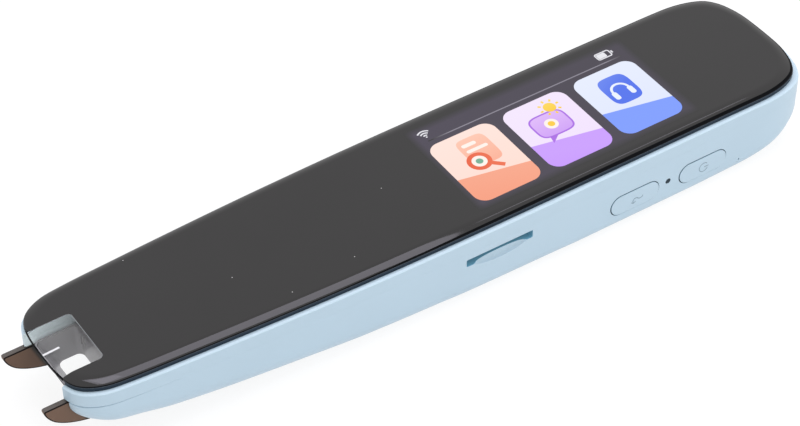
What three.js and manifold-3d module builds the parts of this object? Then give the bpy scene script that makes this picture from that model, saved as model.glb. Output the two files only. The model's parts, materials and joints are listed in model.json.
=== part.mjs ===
// Scanning pen with a long glass screen, a press-to-scan nib and two side buttons.
// Millimetres, +X towards the tail, +Z up through the screen.
// The origin is under the middle of the whole pen, on the face that it lies on.

import * as THREE from 'three';
import { mergeVertices } from 'three/addons/utils/BufferGeometryUtils.js';
import Module from 'manifold-3d';

// Whole pen
const overall_length = 158.3;
const overall_height = 16.45;
const casing_width = 32;
const nib_reach = 3.6;
const fit_gap = 0.3;
const overrun = 2;

// Layers from the top down
const glass_thickness = 1;
const bezel_thickness = 0.9;
const frame_height = 3;
const plate_thickness = 0.8;
const wall = 1.5;

// Glass edge
const glass_edge_run = 1;
const glass_rim = 0.8;
const glass_front_rim = 0.45;
const glass_rear_rim = 1.15;
const glass_foot_step = 0.12;
const frame_edge_radius = 0.6;

// Tip of the casing
const mouth_width = 12;
const mouth_length = 8.6;
const mouth_setback = 1.55;
const mouth_lift = 0.7;
const mouth_lean = 3.4;
const hood_wall = 0.5;
const foot_lift = 0.1;
const foot_thickness = 1.1;
const notch_width = 14.1;
const notch_length = 14.4;
const bezel_notch_length = 9.95;
const shell_cut_length = 11.9;
const cavity_setback = 12.8;
const nose_run = 6;
const nose_lip = 0.35;
const window_width = 12.12;
const window_length = 8.98;
const window_corner = 0.9;

// Press-to-scan nib
const nib_travel = 0.8;
const foot_length = 8.6;
const foot_tail_length = 13.8;
const foot_step_run = 0.6;
const foot_step_rise = 1.8;
const arm_height = 2.5;
const arm_length = 24.4;
const arm_shoulder = 15.4;
const arm_slope = 3;
const crossbar_width = 1.4;
const stem_length = 1;
const stem_width = 2;
const stem_height = 1.5;
const nib_switch_half = 2.2;

// Camera behind the mouth
const holder_length = 6.1;
const holder_base_lift = 1.2;
const camera_wide = 6.6;
const camera_long = 4;
const camera_headroom = 0.35;
const lens_length = 1.3;
const aperture_depth = 0.7;
const led_wide = 1.4;
const led_margin = 0.7;
const led_deep = 1.1;
const led_offset = 4.7;
const camera_board_thickness = 0.6;
const ribbon_thickness = 0.2;
const ribbon_width = 6;
const ribbon_drop = 0.25;

// Side buttons
const button_length = 10.85;
const button_height = 4.3;
const button_line = 5.8;
const button_proud = 0.1;
const button_travel = 0.4;
const power_from_tail = 27.2;
const button_pitch = 15.7;
const collar_margin = 0.6;
const collar_thickness = 0.8;
const switch_stem_length = 0.8;
const switch_length = 4.5;
const switch_height = 3;
const switch_depth = 1.8;
const button_board_thickness = 0.8;
const button_board_headroom = 2.1;
const button_board_length = 32.5;
const button_board_shift = 2.8;
const board_post_reach = 9.5;

// Small holes on the same side
const microphone_from_tail = 35.26;
const microphone_line = 6.15;
const microphone_hole_radius = 0.6;
const microphone_length = 3.76;
const microphone_height = 2.2;
const microphone_depth = 1.1;
const boot_radius = 1.6;
const reset_from_tail = 18.33;
const reset_line = 3.16;
const reset_hole_radius = 0.25;
const reset_length = 3;
const reset_height = 1.4;
const reset_depth = 2.4;

// Card slot
const card_from_tail = 72.96;
const card_slot_length = 14.1;
const card_slot_height = 1.6;
const card_slot_drop = 1.15;
const scoop_half_length = 5.9;
const scoop_height = 1.88;
const scoop_depth = 1;
const scoop_drop = 0.05;
const socket_depth = 13.4;
const socket_shell = 0.3;
const card_gap_width = 11.6;
const card_gap_height = 1.1;
const card_reach = 11;

// Screen
const screen_from_tail = 49.85;
const screen_length = 53;
const screen_side_margin = 2.4;
const screen_panel_height = 0.9;
const backlight_height = 1.6;
const screen_tape_height = 0.25;
const screen_tape_margin = 1.5;
const flex_thickness = 0.3;
const flex_width = 14;
const flex_reach = 2;
const flex_inset = 1.2;
const flex_fold = 3;

// Main board
const board_thickness = 0.8;
const board_drop = 0.45;
const board_from_tail = 12.2;
const board_length = 68.5;
const board_side_margin = 3.2;
const board_tongue_length = 5.5;
const board_tongue_width = 15;
const chip_thickness = 1;
const processor_width = 10;
const memory_length = 8;
const memory_width = 11;
const power_chip_width = 4;
const radio_length = 7;
const radio_width = 11;
const radio_height = 1.6;
const radio_offset = 3;
const shield = { from_tail: 49.15, y: 4, length: 22, width: 14, height: 1.7, skin: 0.3 };

// Battery
const battery_from_tip = 27;
const battery_plug_room = 6;
const battery_side_margin = 4.5;
const battery_floor_gap = 1.45;
const battery_pad_thickness = 0.3;
const battery_drop = 0.65;
const battery_corner = 1.2;
const battery_board_thickness = 1;
const battery_board_margin = 4;
const plug_length = 4;
const plug_width = 6;
const plug_height = 2;
const plug_offset = 8.6;

// Charging port
const port_width = 8.94;
const port_height = 3.16;
const port_length = 7.5;
const port_shell = 0.3;
const port_setback = 0.6;
const port_tongue_width = 6.7;
const port_tongue_height = 0.7;
const port_tongue_length = 5.6;
const port_back = 1;

// Speaker
const speaker_from_tail = 30;
const speaker_offset = 5;
const speaker_length = 15;
const speaker_width = 9;
const speaker_height = 3;
const speaker_corner = 1;
const speaker_mesh_thickness = 0.2;
const grille_hole_radius = 0.5;
const grille_pitch = 2.1;
const grille_columns = 5;
const grille_rows = 3;

// Aerial
const aerial_from_tail = 20;
const aerial_length = 18;
const aerial_height = 4;
const aerial_thickness = 0.4;
const aerial_drop = 4.55;

// Screws
const screw_radius = 0.8;
const screw_head_radius = 1.6;
const screw_head_height = 1.1;
const screw_reach = 6;
const boss_radius = 2.2;
const drive_radius = 0.55;
const drive_depth = 0.5;
const front_screw_from_tip = 24.2;
const front_screw_inset = 6.4;
const middle_screw_from_tail = 83.9;
const middle_screw_inset = 4.7;
const rear_screw_from_tail = 8.6;
const rear_screw_inset = 5.9;
const board_screw_head_height = 0.9;
const board_screw_reach = 0.7;
const board_screw_inset = 3;
const drive_sides = 6;

// Roundness of curved faces
const belly_steps = 6;
const round_sides = 20;
const small_round_sides = 12;

// Half outline of the casing from tip to tail: length share, half-width share
const outline_shares = [
  [0, 0], [0.0002, 0.15], [0.0008, 0.275], [0.0021, 0.3875], [0.0045, 0.4938],
  [0.0084, 0.5844], [0.0145, 0.6562], [0.0236, 0.7188], [0.0333, 0.7625], [0.0449, 0.7937],
  [0.0643, 0.8156], [0.0869, 0.8344], [0.1257, 0.8575], [0.1645, 0.8806], [0.2033, 0.9019],
  [0.2421, 0.9219], [0.2809, 0.94], [0.3197, 0.9556], [0.3584, 0.9681], [0.3972, 0.9788],
  [0.4489, 0.9888], [0.5136, 0.9962], [0.5911, 1], [0.6881, 1], [0.7851, 1],
  [0.8497, 1], [0.8788, 1], [0.9079, 1], [0.9279, 0.9956], [0.9447, 0.975],
  [0.9622, 0.9281], [0.9777, 0.8438], [0.9884, 0.6937], [0.9945, 0.5125], [0.9981, 0.3356],
  [0.9995, 0.1644], [1, 0],
];

// Rise of the underside: length share, share of the overall height
const lift_shares = [
  [0, 0.2918], [0.032, 0.2888], [0.0698, 0.2554], [0.1128, 0.1799], [0.1555, 0.1343],
  [0.1968, 0.1003], [0.2388, 0.0729], [0.2809, 0.0456], [0.3229, 0.0152], [0.352, 0],
  [0.9144, 0], [0.9402, 0.0073], [0.9661, 0.0243], [1, 0.0669],
];

// Radius of the long lower edges: length share, share of the half width
const edge_shares = [
  [0, 0.3125], [0.3229, 0.3125], [0.4056, 0.275], [0.4489, 0.2531], [0.4877, 0.225],
  [0.5718, 0.2037], [0.6105, 0.1938], [0.6558, 0.175], [0.8174, 0.175], [0.8562, 0.1875],
  [0.895, 0.2062], [0.9337, 0.225], [1, 0.25],
];

// Fullness of the nose against a quarter circle, and how far back it blends out
const nose_power_share = 1.15;
const nose_blend_share = 0.045;

// Front edge of a foot from its top: length share, height share
const foot_shares = [
  [0.04, 0], [0.008, 0.02], [0, 0.07], [0.047, 0.256], [0.18, 0.511], [0.378, 0.707],
  [0.587, 0.842], [0.8, 0.94], [1, 1],
];

// Glass edge from the top: run share, height share
const glass_edge_shares = [[1, 1], [0.42, 0.88], [0.12, 0.62], [0, 0.3]];

// Places worked out from the sizes
const tail_x = overall_length / 2;
const tip_x = nib_reach - tail_x;
const casing_length = tail_x - tip_x;
const casing_half = casing_width / 2;
const glass_bottom = overall_height - glass_thickness;
const bezel_bottom = glass_bottom - bezel_thickness;
const frame_bottom = bezel_bottom - frame_height;
const plate_top = frame_bottom + plate_thickness;
const shell_top = frame_bottom - fit_gap;
const board_top = frame_bottom - board_drop;
const board_bottom = board_top - board_thickness;
const side_face = -casing_half;
const side_inner = side_face + wall;
const notch_half = notch_width / 2;
const foot_bottom = lift_shares[0][1] * overall_height + foot_lift;
const mouth_half = mouth_width / 2;
const hood_half = mouth_half + hood_wall;
const foot_inner = hood_half + fit_gap;
const foot_outer = foot_inner + foot_thickness;
const shell_cut_half = foot_outer + fit_gap;
const mouth_front = tip_x + mouth_setback;
const mouth_rear = mouth_front + mouth_length;
const mouth_bottom = foot_bottom + mouth_lift;
const mouth_top = plate_top;
const cut_rear = tip_x + shell_cut_length;
const cavity_front = tip_x + cavity_setback;
const holder_rear = mouth_rear + hood_wall + holder_length;
const holder_bottom = mouth_bottom + holder_base_lift;
const foot_front = -tail_x;
const foot_rear = foot_front + foot_tail_length;
const arm_bottom = foot_bottom + foot_step_rise;
const arm_top = arm_bottom + arm_height;
const arm_rear = foot_front + arm_length;
const shoulder_x = foot_front + arm_shoulder;
const stem_line = arm_bottom + arm_height / 2;
const camera_front = mouth_rear + hood_wall + lens_length;
const camera_rear = camera_front + camera_long;
const camera_bottom = holder_bottom + hood_wall + fit_gap;
const camera_top = frame_bottom - camera_headroom;
const lens_radius = (camera_top - camera_bottom) / 2;
const led_half_height = lens_radius - led_margin;
const camera_line = (camera_bottom + camera_top) / 2;
const ribbon_top = frame_bottom - ribbon_drop;
const battery_front = tip_x + battery_from_tip;
const board_rear = tail_x - board_from_tail;
const board_front = board_rear - board_length;
const board_half = casing_half - board_side_margin;
const battery_rear = board_front - battery_plug_room;
const battery_half = casing_half - battery_side_margin;
const battery_top = frame_bottom - battery_drop - battery_pad_thickness;
const battery_bottom = floor_at(battery_front) + battery_floor_gap;
const screen_middle = tail_x - screen_from_tail;
const screen_front = screen_middle - screen_length / 2;
const screen_rear = screen_middle + screen_length / 2;
const screen_half = casing_half - screen_side_margin;
const backlight_bottom = plate_top + screen_tape_height;
const backlight_top = backlight_bottom + backlight_height;
const power_x = tail_x - power_from_tail;
const back_x = power_x - button_pitch;
const microphone_x = tail_x - microphone_from_tail;
const reset_x = tail_x - reset_from_tail;
const card_x = tail_x - card_from_tail;
const collar_outer = side_inner + fit_gap;
const collar_inner = collar_outer + collar_thickness;
const stem_outer = collar_inner + fit_gap;
const stem_inner = stem_outer + switch_stem_length;
const switch_outer = stem_inner + button_travel + fit_gap;
const button_board_outer = switch_outer + switch_depth;
const button_board_inner = button_board_outer + button_board_thickness;
const button_board_bottom = wall + fit_gap;
const button_board_top = board_bottom - button_board_headroom;
const card_slot_line = board_bottom - card_slot_drop;
const scoop_line = card_slot_line - scoop_drop;
const port_rear = tail_x - port_setback;
const port_front = port_rear - port_length;
const port_top = board_bottom - fit_gap / 2;
const port_line = port_top - port_height / 2;
const speaker_x = tail_x - speaker_from_tail;
const shield_x = tail_x - shield.from_tail;
const front_screw_offset = casing_half - front_screw_inset;
const middle_screw_offset = casing_half - middle_screw_inset;
const rear_screw_offset = casing_half - rear_screw_inset;
const screws = [
  { x: tip_x + front_screw_from_tip, y: front_screw_offset },
  { x: tip_x + front_screw_from_tip, y: -front_screw_offset },
  { x: tail_x - middle_screw_from_tail, y: middle_screw_offset },
  { x: tail_x - middle_screw_from_tail, y: -middle_screw_offset },
  { x: tail_x - rear_screw_from_tail, y: rear_screw_offset },
  { x: tail_x - rear_screw_from_tail, y: -rear_screw_offset },
];

const wasm = await Module();
wasm.setup();

// Solids
function solid(geometry) {
  const bare = geometry.index ? geometry.toNonIndexed() : geometry;
  bare.deleteAttribute('normal');
  bare.deleteAttribute('uv');
  const merged = mergeVertices(bare);
  return new wasm.Manifold(new wasm.Mesh({
    numProp: 3,
    vertProperties: new Float32Array(merged.attributes.position.array),
    triVerts: new Uint32Array(merged.index.array),
  }));
}

function block(x0, x1, y0, y1, z0, z1) {
  const box = new THREE.BoxGeometry(x1 - x0, y1 - y0, z1 - z0);
  box.translate((x0 + x1) / 2, (y0 + y1) / 2, (z0 + z1) / 2);
  return solid(box);
}

function middle_block(x0, x1, half, z0, z1) {
  return block(x0, x1, -half, half, z0, z1);
}

function rod(axis, radius, from, to, across, up, sides = small_round_sides) {
  const cylinder = new THREE.CylinderGeometry(radius, radius, to - from, sides);
  const centre = (from + to) / 2;
  if (axis === 'x') {
    cylinder.rotateZ(-Math.PI / 2);
    cylinder.translate(centre, across, up);
  }
  if (axis === 'y') {
    cylinder.translate(across, centre, up);
  }
  if (axis === 'z') {
    cylinder.rotateX(Math.PI / 2);
    cylinder.translate(across, up, centre);
  }
  return solid(cylinder);
}

// Corners are rounded with a quarter turn of equal steps
function round_rectangle(x0, x1, y0, y1, radius) {
  const shape = new THREE.Shape();
  shape.moveTo(x0 + radius, y0);
  shape.lineTo(x1 - radius, y0);
  shape.absarc(x1 - radius, y0 + radius, radius, -Math.PI / 2, 0, false);
  shape.absarc(x1 - radius, y1 - radius, radius, 0, Math.PI / 2, false);
  shape.absarc(x0 + radius, y1 - radius, radius, Math.PI / 2, Math.PI, false);
  shape.absarc(x0 + radius, y0 + radius, radius, Math.PI, Math.PI * 1.5, false);
  return shape;
}

function upright_prism(shape, z0, z1, curve_steps = 5) {
  const geometry = new THREE.ExtrudeGeometry(shape, {
    depth: z1 - z0, bevelEnabled: false, curveSegments: curve_steps,
  });
  geometry.translate(0, 0, z0);
  return solid(geometry);
}

// The shape is drawn in x and z, and runs from y0 to y1
function side_prism(shape, y0, y1, curve_steps = 8) {
  const geometry = new THREE.ExtrudeGeometry(shape, {
    depth: y1 - y0, bevelEnabled: false, curveSegments: curve_steps,
  });
  geometry.rotateX(Math.PI / 2);
  geometry.translate(0, y1, 0);
  return solid(geometry);
}

// The shape is drawn in y and z, and runs from x0 to x1
function end_prism(shape, x0, x1, curve_steps = 6) {
  const geometry = new THREE.ExtrudeGeometry(shape, {
    depth: x1 - x0, bevelEnabled: false, curveSegments: curve_steps,
  });
  geometry.rotateX(Math.PI / 2);
  geometry.rotateZ(Math.PI / 2);
  geometry.translate(x0, 0, 0);
  return solid(geometry);
}

function polygon(points) {
  return new THREE.Shape(points.map(([u, v]) => new THREE.Vector2(u, v)));
}

function pill(x, z, length, height, y0, y1) {
  const radius = height / 2;
  const half = length / 2;
  return side_prism(round_rectangle(x - half, x + half, z - radius, z + radius, radius), y0, y1);
}

function join(solids) {
  return solids.reduce((whole, piece) => whole.add(piece));
}

function cut(body, solids) {
  return solids.reduce((whole, piece) => whole.subtract(piece), body);
}

// Tables of shares, read between their rows
function read(table, share) {
  const next = Math.max(1, table.findIndex(([place]) => place >= share));
  const [from, low] = table[next - 1];
  const [to, high] = table[next];
  return low + (high - low) * (share - from) / (to - from);
}

// Inside floor of the casing
function floor_at(x) {
  return read(lift_shares, (x - tip_x) / casing_length) * overall_height + wall;
}

function mix(from, to, share) {
  return from + (to - from) * share;
}

function nose_part(share) {
  const left = Math.max(0, 1 - share / nose_blend_share);
  return left * left * (3 - 2 * left);
}

// A closed body of mirrored rings. Each level gives insets and a height for a length share.
function plan_body(levels) {
  const rings = levels.map((level) => plan_ring(level));
  const count = rings[0].length;
  const last = outline_shares.length - 1;
  const corners = rings.flat(2);
  const faces = [];
  const top = (rings.length - 1) * count;
  for (let k = 0; k < rings.length - 1; k += 1) {
    for (let i = 0; i < count; i += 1) {
      const a = k * count + i;
      const b = k * count + (i + 1) % count;
      faces.push(a, a + count, b + count, a, b + count, b);
    }
  }
  for (let i = 0; i < last; i += 1) {
    const far = (count - i) % count;
    const next_far = count - i - 1;
    if (i > 0) {
      faces.push(i, i + 1, far);
      faces.push(top + i, top + far, top + i + 1);
    }
    if (i < last - 1) {
      faces.push(i + 1, next_far, far);
      faces.push(top + i + 1, top + far, top + next_far);
    }
  }
  const geometry = new THREE.BufferGeometry();
  geometry.setAttribute('position', new THREE.Float32BufferAttribute(corners, 3));
  geometry.setIndex(faces);
  return solid(geometry);
}

function plan_ring(level) {
  const half = outline_shares.map(([share, width]) => {
    const { front, rear, side, z } = level(share);
    const x = tip_x + front + share * (casing_length - front - rear);
    return [x, width * (casing_half - side), z];
  });
  const mirrored = half.slice(1, -1).reverse().map(([x, y, z]) => [x, -y, z]);
  return [...half, ...mirrored];
}

function flat_level(front, rear, side, z) {
  return () => ({ front, rear, side, z });
}

function even_level(inset, z) {
  return flat_level(inset, inset, inset, z);
}

// Underside of the casing at one turn of its edge, drawn in by a skin thickness
function belly_level(turn, skin) {
  return (share) => {
    const nose = nose_part(share);
    const radius = read(edge_shares, share) * casing_half - skin;
    const power = mix(1, nose_power_share, nose);
    const reach = skin + mix(radius, nose_run - skin, nose) * (1 - Math.cos(turn) ** power);
    const place = mix(reach, casing_length - reach, share) / casing_length;
    const lift = read(lift_shares, place) * overall_height;
    const climb = mix(radius, shell_top - nose_lip - lift - skin, nose);
    const z = lift + skin + climb * (1 - Math.sin(turn) ** power);
    return { front: reach, rear: reach, side: reach, z };
  };
}

function belly_body(skin, z1) {
  const levels = [];
  for (let step = belly_steps; step >= 0; step -= 1) {
    levels.push(belly_level(step / belly_steps * Math.PI / 2, skin));
  }
  levels.push(even_level(skin, z1));
  return plan_body(levels);
}

// Casing
function lower_shell() {
  const outer = belly_body(0, shell_top);
  const inner = belly_body(wall, shell_top + overrun).subtract(
    middle_block(tip_x - overrun, cavity_front, casing_width, -overrun, overall_height),
  );
  const bosses = join(screws.map(({ x, y }) => rod('z', boss_radius, 0, shell_top, x, y)));
  const hollow = outer.subtract(inner).add(bosses.intersect(outer)).add(board_posts());
  return cut(hollow, [
    middle_block(foot_front, cut_rear, shell_cut_half, -overrun, overall_height),
    middle_block(cut_rear - fit_gap, cavity_front + fit_gap, shell_cut_half,
      holder_bottom - fit_gap, overall_height),
    ...screws.map(({ x, y }) => rod('z', screw_radius + fit_gap,
      plate_top - screw_reach - fit_gap, overall_height, x, y)),
    ...side_cuts(),
    port_hole(),
    ...grille_holes(),
  ]);
}

// Low posts hold the foot of the side board
function board_posts() {
  const post_outer = button_board_outer - fit_gap - wall;
  const post_top = button_board_bottom + wall;
  const middle = (power_x + back_x) / 2 + button_board_shift;
  const posts = [-1, 1].map((side) => {
    const x = middle + side * board_post_reach;
    return block(x - wall, x + wall, post_outer, button_board_outer - fit_gap, wall / 2, post_top);
  });
  const backs = [-1, 1].map((side) => {
    const x = middle + side * board_post_reach;
    const face = button_board_inner + fit_gap;
    return block(x - wall, x + wall, face, face + wall, wall / 2, post_top);
  });
  return join([...posts, ...backs]);
}

function side_cuts() {
  const outside = side_face - overrun;
  const inside = side_inner + overrun / 2;
  const clear = 2 * fit_gap;
  const slot_half = card_slot_length / 2;
  const slot_low = card_slot_line - card_slot_height / 2;
  const slot_high = card_slot_line + card_slot_height / 2;
  return [
    pill(power_x, button_line, button_length + clear, button_height + clear, outside, inside),
    pill(back_x, button_line, button_length + clear, button_height + clear, outside, inside),
    block(card_x - slot_half, card_x + slot_half, outside, inside, slot_low, slot_high),
    finger_scoop(),
    rod('y', microphone_hole_radius, outside, inside, microphone_x, microphone_line),
    rod('y', reset_hole_radius, outside, inside, reset_x, reset_line),
  ];
}

function finger_scoop() {
  const ball = new THREE.SphereGeometry(1, round_sides, small_round_sides);
  ball.scale(scoop_half_length, scoop_depth, scoop_height);
  ball.translate(card_x, side_face, scoop_line);
  const below = block(card_x - casing_half, card_x + casing_half, side_face - overrun,
    side_inner, scoop_line - scoop_height - fit_gap, scoop_line);
  return solid(ball).intersect(below);
}

function port_hole() {
  const half = port_width / 2 + fit_gap;
  const high = port_height / 2 + fit_gap;
  const shape = round_rectangle(-half, half, port_line - high, port_line + high, high);
  return end_prism(shape, port_rear - wall * 2, tail_x + overrun);
}

function grille_holes() {
  const holes = [];
  for (let column = 0; column < grille_columns; column += 1) {
    for (let row = 0; row < grille_rows; row += 1) {
      const x = speaker_x + (column - (grille_columns - 1) / 2) * grille_pitch;
      const y = speaker_offset + (row - (grille_rows - 1) / 2) * grille_pitch;
      holes.push(rod('z', grille_hole_radius, -overrun, wall + overrun / 2, x, y));
    }
  }
  return holes;
}

function upper_frame() {
  const edge = frame_edge_radius;
  const outer = plan_body([
    even_level(0, frame_bottom),
    even_level(0, bezel_bottom - edge),
    even_level(edge * 0.3, bezel_bottom - edge * 0.3),
    even_level(edge, bezel_bottom),
  ]);
  const pocket = plan_body([
    even_level(wall, plate_top),
    even_level(wall, bezel_bottom + overrun),
  ]).subtract(middle_block(tip_x - overrun, tip_x + notch_length + plate_thickness,
    casing_width, 0, overall_height + overrun));
  return cut(outer, [
    pocket,
    middle_block(foot_front, tip_x + notch_length, notch_half, 0, overall_height),
    middle_block(screen_rear - flex_fold, screen_rear + flex_reach + fit_gap * 2,
      flex_width / 2 + fit_gap, 0, overall_height),
    ...screws.map(({ x, y }) => rod('z', screw_radius + fit_gap, 0, overall_height, x, y)),
    ...board_screws().map(({ x, y }) => rod('z', screw_radius + fit_gap, 0, overall_height, x, y)),
  ]);
}

function panel_bezel() {
  const outline = plan_body([
    panel_level(glass_foot_step, bezel_bottom),
    panel_level(glass_foot_step, glass_bottom),
  ]);
  return cut(outline, [
    middle_block(foot_front, tip_x + bezel_notch_length, notch_half, 0, overall_height),
    middle_block(screen_front - fit_gap, screen_rear + fit_gap, screen_half + fit_gap,
      0, overall_height),
  ]);
}

// Glass panel with a clear pane let in over the mouth
function panel_level(inset, z) {
  return flat_level(glass_front_rim + inset, glass_rear_rim + inset, glass_rim + inset, z);
}

function panel_levels() {
  const levels = glass_edge_shares.map(([run, height]) =>
    panel_level(run * glass_edge_run, glass_bottom + height * glass_thickness));
  levels.push(panel_level(glass_foot_step, glass_bottom));
  return levels.reverse();
}

function window_block(margin) {
  const half = window_width / 2 + margin;
  const front = foot_front - window_corner;
  const rear = tip_x + window_length + margin;
  const shape = round_rectangle(front, rear, -half, half, window_corner + margin);
  return upright_prism(shape, 0, overall_height + overrun);
}

function cover_glass() {
  return plan_body(panel_levels()).subtract(window_block(fit_gap));
}

function viewing_window() {
  return plan_body(panel_levels()).intersect(window_block(0));
}

// Mouth, nib and camera
function scan_hood() {
  const bucket = side_prism(mouth_outline(0, 0, hood_wall), -hood_half, hood_half);
  const inside = side_prism(mouth_outline(hood_wall, overrun, 0), -mouth_half, mouth_half);
  const holder = middle_block(mouth_rear, holder_rear, hood_half, holder_bottom, shell_top);
  const pocket_half = camera_wide / 2 + fit_gap;
  const aperture = lens_radius + fit_gap;
  return cut(bucket.subtract(inside).add(holder.subtract(inside)), [
    middle_block(camera_front - fit_gap, holder_rear + overrun, pocket_half,
      camera_bottom - fit_gap, overall_height),
    rod('x', aperture, mouth_rear - overrun, camera_front, 0, camera_line, round_sides),
    ...[-1, 1].map((side) => led_room(side, fit_gap)),
  ]);
}

// The front wall of the mouth leans back towards its lower end
function mouth_outline(front_skin, past_ends, rear_skin) {
  const mouth_height = mouth_top - mouth_bottom;
  const slope = mouth_lean / mouth_height;
  const top_front = mouth_front + front_skin - slope * past_ends;
  const low_front = mouth_front + front_skin + slope * (mouth_height + past_ends);
  const rear = mouth_rear + rear_skin;
  return polygon([
    [top_front, mouth_top + past_ends], [low_front, mouth_bottom - past_ends],
    [rear, mouth_bottom - past_ends], [rear, mouth_top + past_ends],
  ]);
}

function led_room(side, margin) {
  const y = side * led_offset;
  const wide = led_wide / 2 + margin;
  const high = led_half_height + margin;
  return block(mouth_rear - margin * 2, mouth_rear + led_deep + margin, y - wide, y + wide,
    camera_line - high, camera_line + high);
}

function camera_lens() {
  const lens = rod('x', lens_radius, mouth_rear + aperture_depth - fit_gap,
    camera_front - fit_gap / 2, 0, camera_line, round_sides);
  return lens;
}

function camera_body() {
  return middle_block(camera_front, camera_rear, camera_wide / 2, camera_bottom, camera_top);
}

function camera_board() {
  return middle_block(camera_rear, camera_rear + camera_board_thickness, camera_wide / 2,
    camera_bottom, camera_top);
}

function camera_ribbon() {
  const high = ribbon_top;
  const low = high - ribbon_thickness;
  const front = camera_rear + camera_board_thickness;
  const foot = front + ribbon_thickness;
  const down = camera_line;
  const points = [
    [front, down], [foot, down], [foot, low], [board_front - fit_gap, low],
    [board_front - fit_gap, high], [front, high],
  ];
  return side_prism(polygon(points), -ribbon_width / 2, ribbon_width / 2);
}

function nib_frame() {
  const top = shell_top;
  const height = top - foot_bottom;
  const points = foot_shares.map(([along, down]) => [
    foot_front + along * foot_length, top - down * height,
  ]);
  points.push(
    [foot_rear, foot_bottom],
    [foot_rear + foot_step_run, arm_bottom],
    [arm_rear, arm_bottom],
    [arm_rear, arm_top],
    [shoulder_x + arm_slope, arm_top],
    [shoulder_x, top],
  );
  const bar = middle_block(arm_rear - crossbar_width, arm_rear, foot_outer, arm_bottom, arm_top);
  return join([
    side_prism(polygon(points), foot_inner, foot_outer),
    side_prism(polygon(points), -foot_outer, -foot_inner),
    bar,
  ]);
}

function nib_stem() {
  const front = arm_rear + fit_gap;
  const high = stem_height / 2;
  return middle_block(front, front + stem_length, stem_width / 2, stem_line - high,
    stem_line + high);
}

function nib_switch() {
  const front = arm_rear + fit_gap + stem_length + nib_travel + fit_gap;
  const rear = battery_front - fit_gap;
  return middle_block(front, rear, nib_switch_half, floor_at(front) + fit_gap, arm_top);
}

// Buttons, their switches and the side board
function button_cap(x) {
  const cap = pill(x, button_line, button_length, button_height, side_face - button_proud,
    collar_inner);
  const collar = pill(x, button_line, button_length + 2 * collar_margin,
    button_height + 2 * collar_margin, collar_outer, collar_inner);
  return cap.add(collar);
}

function switch_stem(x) {
  const half = switch_height / 4;
  return block(x - half, x + half, stem_outer, stem_inner, button_line - half,
    button_line + half);
}

function side_switch(x) {
  return block(x - switch_length / 2, x + switch_length / 2, switch_outer, button_board_outer,
    button_line - switch_height / 2, button_line + switch_height / 2);
}

function button_board() {
  const middle = (power_x + back_x) / 2 + button_board_shift;
  const half = button_board_length / 2;
  return block(middle - half, middle + half, button_board_outer, button_board_inner,
    button_board_bottom, button_board_top);
}

function microphone() {
  const half = microphone_length / 2;
  const high = microphone_height / 2;
  return block(microphone_x - half, microphone_x + half, button_board_outer - microphone_depth,
    button_board_outer, microphone_line - high, microphone_line + high);
}

function microphone_boot() {
  const outer = collar_outer;
  const inner = button_board_outer - microphone_depth;
  const sleeve = rod('y', boot_radius, outer, inner, microphone_x, microphone_line);
  const bore = rod('y', microphone_hole_radius, outer - overrun, inner + overrun,
    microphone_x, microphone_line);
  return sleeve.subtract(bore);
}

function reset_switch() {
  const half = reset_length / 2;
  const low = button_board_bottom + fit_gap;
  return block(reset_x - half, reset_x + half, button_board_outer - reset_depth,
    button_board_outer, low, low + reset_height);
}

// Screen stack
function screen_panel() {
  return middle_block(screen_front, screen_rear, screen_half, backlight_top,
    backlight_top + screen_panel_height);
}

function screen_backlight() {
  return middle_block(screen_front, screen_rear, screen_half, backlight_bottom, backlight_top);
}

function screen_tape() {
  const margin = screen_tape_margin;
  const outer = middle_block(screen_front + margin, screen_rear - flex_fold - margin,
    screen_half - margin, plate_top, backlight_bottom);
  return outer.subtract(middle_block(screen_front + 2 * margin,
    screen_rear - flex_fold - 2 * margin, screen_half - 2 * margin, 0, overall_height));
}

function screen_ribbon() {
  const high = bezel_bottom - fit_gap;
  const low = board_top + fit_gap;
  const reach = screen_rear + flex_reach;
  const start = screen_rear + fit_gap / 2;
  const points = [
    [start, high], [start, high - flex_thickness], [reach - flex_thickness, high - flex_thickness],
    [reach - flex_thickness, low + flex_thickness], [screen_rear - flex_inset, low + flex_thickness],
    [screen_rear - flex_inset, low], [reach, low], [reach, high],
  ];
  return side_prism(polygon(points), -flex_width / 2, flex_width / 2);
}

// Boards, chips and sockets
function main_board() {
  const plank = middle_block(board_front, board_rear - board_tongue_length, board_half,
    board_bottom, board_top);
  const tongue = middle_block(board_front, board_rear, board_tongue_width / 2, board_bottom,
    board_top);
  return cut(plank.add(tongue), board_screws().map(({ x, y }) =>
    rod('z', screw_radius + fit_gap, 0, overall_height, x, y)));
}

function board_screws() {
  const x0 = board_front + board_screw_inset + card_slot_length;
  const x1 = board_rear - board_tongue_length - board_screw_inset;
  const y = board_half - board_screw_inset;
  return [{ x: x0, y }, { x: x1, y }, { x: x1, y: -y }];
}

function board_screw({ x, y }) {
  const head = rod('z', screw_head_radius, board_bottom - board_screw_head_height,
    board_bottom, x, y);
  const shank = rod('z', screw_radius, board_bottom, frame_bottom + board_screw_reach, x, y);
  const drive = rod('z', drive_radius, board_bottom - overrun,
    board_bottom - board_screw_head_height + drive_depth, x, y, drive_sides);
  return head.add(shank).subtract(drive);
}

function under_board(x, y, length, width, height) {
  return block(x - length / 2, x + length / 2, y - width / 2, y + width / 2,
    board_bottom - height, board_bottom);
}

function shield_can() {
  const { y, length, width, height, skin } = shield;
  const x = shield_x;
  const can = under_board(x, y, length, width, height);
  return can.subtract(block(x - length / 2 + skin, x + length / 2 - skin,
    y - width / 2 + skin, y + width / 2 - skin, board_bottom - height + skin,
    board_bottom + overrun));
}

function processor() {
  const x = shield_x - shield.length / 4;
  return under_board(x, shield.y, processor_width, processor_width, chip_thickness);
}

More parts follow.
